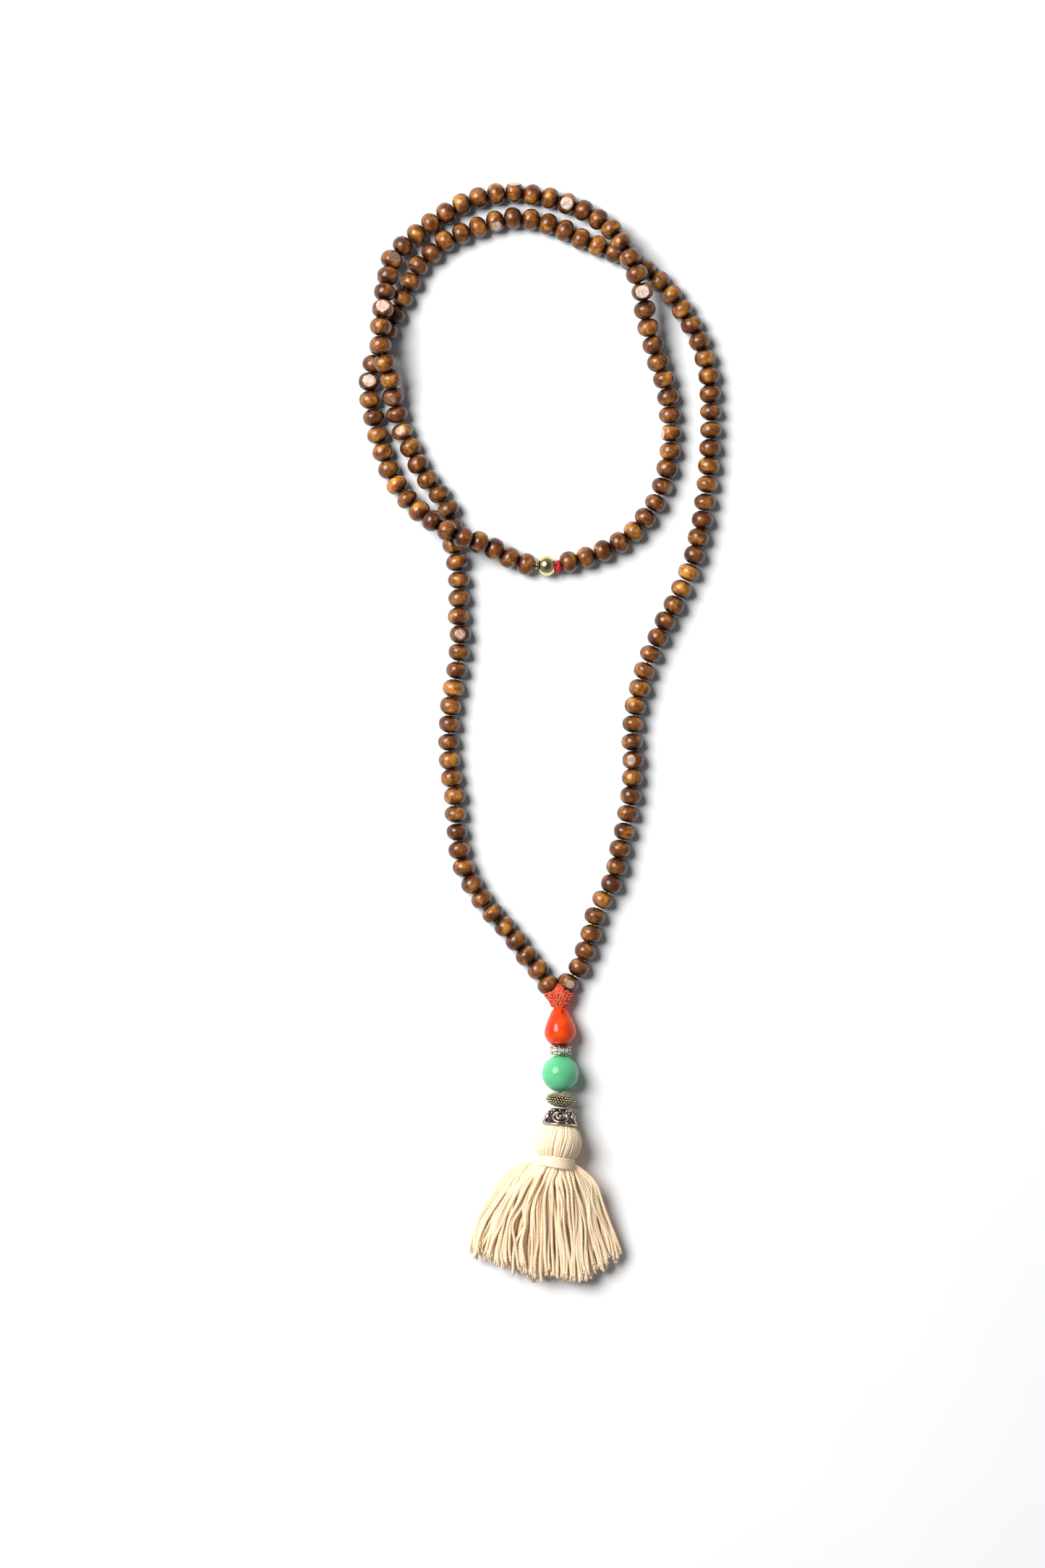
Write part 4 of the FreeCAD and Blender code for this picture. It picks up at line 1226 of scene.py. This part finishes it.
def yarn_line(flat, level, space, rng):
    """The same course laid into the skirt, from 0 at its underside to 1 at its top."""
    jitter = rng.normal(0, 0.035)
    rise = rng.uniform(0, TAU)
    path = []
    for step in range(0, PLAN_STEPS, 6):
        x, y = flat[step]
        low, high = space.span(x, y)
        room = max(high - low - 2 * YARN_RADIUS, 0.3)
        wander = 0.05 * math.sin(step / (PLAN_STEPS - 1) * 9 + rise)
        share = np.clip(level + jitter + wander, 0, 1.03)
        path.append((x, y, low + YARN_RADIUS + room * share))
    path = np.array(path)
    path[:, 2] = smoothed(path[:, 2], 3)
    path = np.vstack([path, path[-1] + (path[-1] - path[-2]) * 0.5])
    line = smooth_path(path, YARN_STEPS)
    line[:, 2] = np.maximum(line[:, 2], YARN_RADIUS + 0.06)
    return line


def fray(soup, line, shade, rng):
    """Ten loose fibres that spread from the end of a yarn."""
    end = line[-4]
    ahead = line[-1] - line[-8]
    ahead /= np.linalg.norm(ahead)
    for _ in range(10):
        offset = rng.uniform(-0.4, 0.4, 3)
        offset -= ahead * ahead.dot(offset)
        reach = rng.uniform(1.0, 2.3)
        start = end + offset * 0.8 - ahead * 1.0
        middle = end + offset + ahead * reach * 0.4
        tip = end + offset * 1.7 + ahead * reach + rng.normal(0, 0.10, 3)
        hair = smooth_path([start, middle, tip], 7)
        hair[:, 2] = np.maximum(hair[:, 2], 0.28)
        soup.add(*wire(hair, rng.uniform(0.17, 0.25), sides=6, taper=np.linspace(1, 0.55, 7)),
                 shade=shade)


def make_skirt(material):
    """Four layers of loose two-ply yarns that fan out and end in a ragged, frayed hem."""
    space = SkirtSpace()
    taper = np.interp(np.linspace(0, 1, YARN_STEPS), [0, 0.10, 0.22, 0.94, 1.0],
                      [0.72, 0.78, 1.0, 1.0, 0.94])
    for layer, (name, count, level, longer) in enumerate(SKIRT_LAYERS):
        rng = np.random.default_rng(400 + layer)
        soup = Soup()
        # In the lower layer, the filling's darker colour is painted shade deep inside the skirt.
        if name == "lower":
            soup.add(*skirt_filling(space), shade=0.55)
        wave = rng.uniform(0, TAU, 6)
        for index in range(count):
            share = (index + 0.5 + rng.normal(0, 0.28)) / count
            share = float(np.clip(share + 0.012 * math.sin(TAU * share * 7 + wave[0]), 0, 1))
            flat = yarn_plan(layer, share, longer, wave, rng)
            line = yarn_line(flat, level, space, rng)
            points, faces, deep = twisted(line, rng.uniform(0.92, 1.06) * YARN_RADIUS,
                                          taper=taper, twist=rng.uniform(2.2, 2.9),
                                          phase=rng.uniform(0, TAU), waist=0.8)
            # Deeper layers are darker, as painted shade under the layers above, and the grooves
            # between plies get painted shade; the rest of tone differs at random.
            tone = float(np.clip(rng.normal(0.02 + 0.12 * layer, 0.12), 0, 0.6))
            soup.add(points, faces, shade=tone + 0.4 * deep)
            fray(soup, line, tone * 0.2, rng)
        piece = soup.build("skirt_yarns_" + name, material)
        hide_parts("tassel_skirt")
        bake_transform(piece)


def dress(node, material):
    """Give a CAD node that stays in view its material."""
    mesh = frame["nodes"][node].data
    mesh.materials.clear()
    mesh.materials.append(material)


# ================================================================ putting it together
def make_table():
    """A plain white table top that runs out of the picture on every side."""
    half = 1.6
    steps = 8
    spots = np.linspace(-half, half, steps + 1)
    points = [(x, y, 0.0) for y in spots for x in spots]
    mesh = bpy.data.meshes.new("table_top")
    mesh.from_pydata(points, [], grid_faces(steps + 1, steps + 1, closed=False))
    mesh.materials.append(floor_material())
    table = bpy.data.objects.new("table_top", mesh)
    bpy.context.scene.collection.objects.link(table)


make_camera()
make_light()
make_table()
cord_look = thread_material("stringing_cord", (0.42, 0.30, 0.2), (0.16, 0.1, 0.06), 0.3)
strand = Strand()
runs = beads_by_run(strand)
make_cords(strand, runs, cord_look)
bead_count = make_beads(strand, runs, wood_material())
print("wooden beads:", bead_count, "strand length:", round(strand.length, 4))

gold = metal_material("gold", (0.86, 0.76, 0.44), (0.74, 0.60, 0.30), (0.22, 0.15, 0.05),
                      0.09, 0.12)
make_gold_bead(gold)
dress("gold_crimp", gold)
make_marker(thread_material("red_thread", (0.78, 0.022, 0.018), (0.42, 0.006, 0.006), 0.25))
make_star_knot(thread_material("coral_thread", (0.92, 0.19, 0.085), (0.55, 0.035, 0.015), 0.25,
                               2600.0, 0.06))
make_coral_drop(coral_material())
make_rondelle(metal_material("silver_gilt", (0.92, 0.84, 0.66), (0.74, 0.62, 0.42),
                             (0.10, 0.07, 0.04), 0.12, 0.35), stone_material())
make_green_bead(green_material())
make_bicone(metal_material("antique_pewter", (0.84, 0.73, 0.47), (0.34, 0.275, 0.145),
                           (0.030, 0.024, 0.012), 0.27, 0.45))
make_cap(metal_material("antique_silver", (0.86, 0.76, 0.68), (0.46, 0.36, 0.30),
                        (0.026, 0.017, 0.013), 0.17, 0.4))
cotton = thread_material("cream_cotton", (0.98, 0.89, 0.72), (0.93, 0.69, 0.44), 0.0, 2100.0,
                         0.12)
make_head(cotton)
make_binding(cotton)
make_skirt(cotton)
core = thread_material("core_wood", (0.70, 0.50, 0.30), (0.52, 0.34, 0.18), 0.0, 900.0)
dress("tassel_core_ball", core)
for node in ("pendant_cord", "tassel_cord", "pendant_end_knot"):
    dress(node, cord_look)
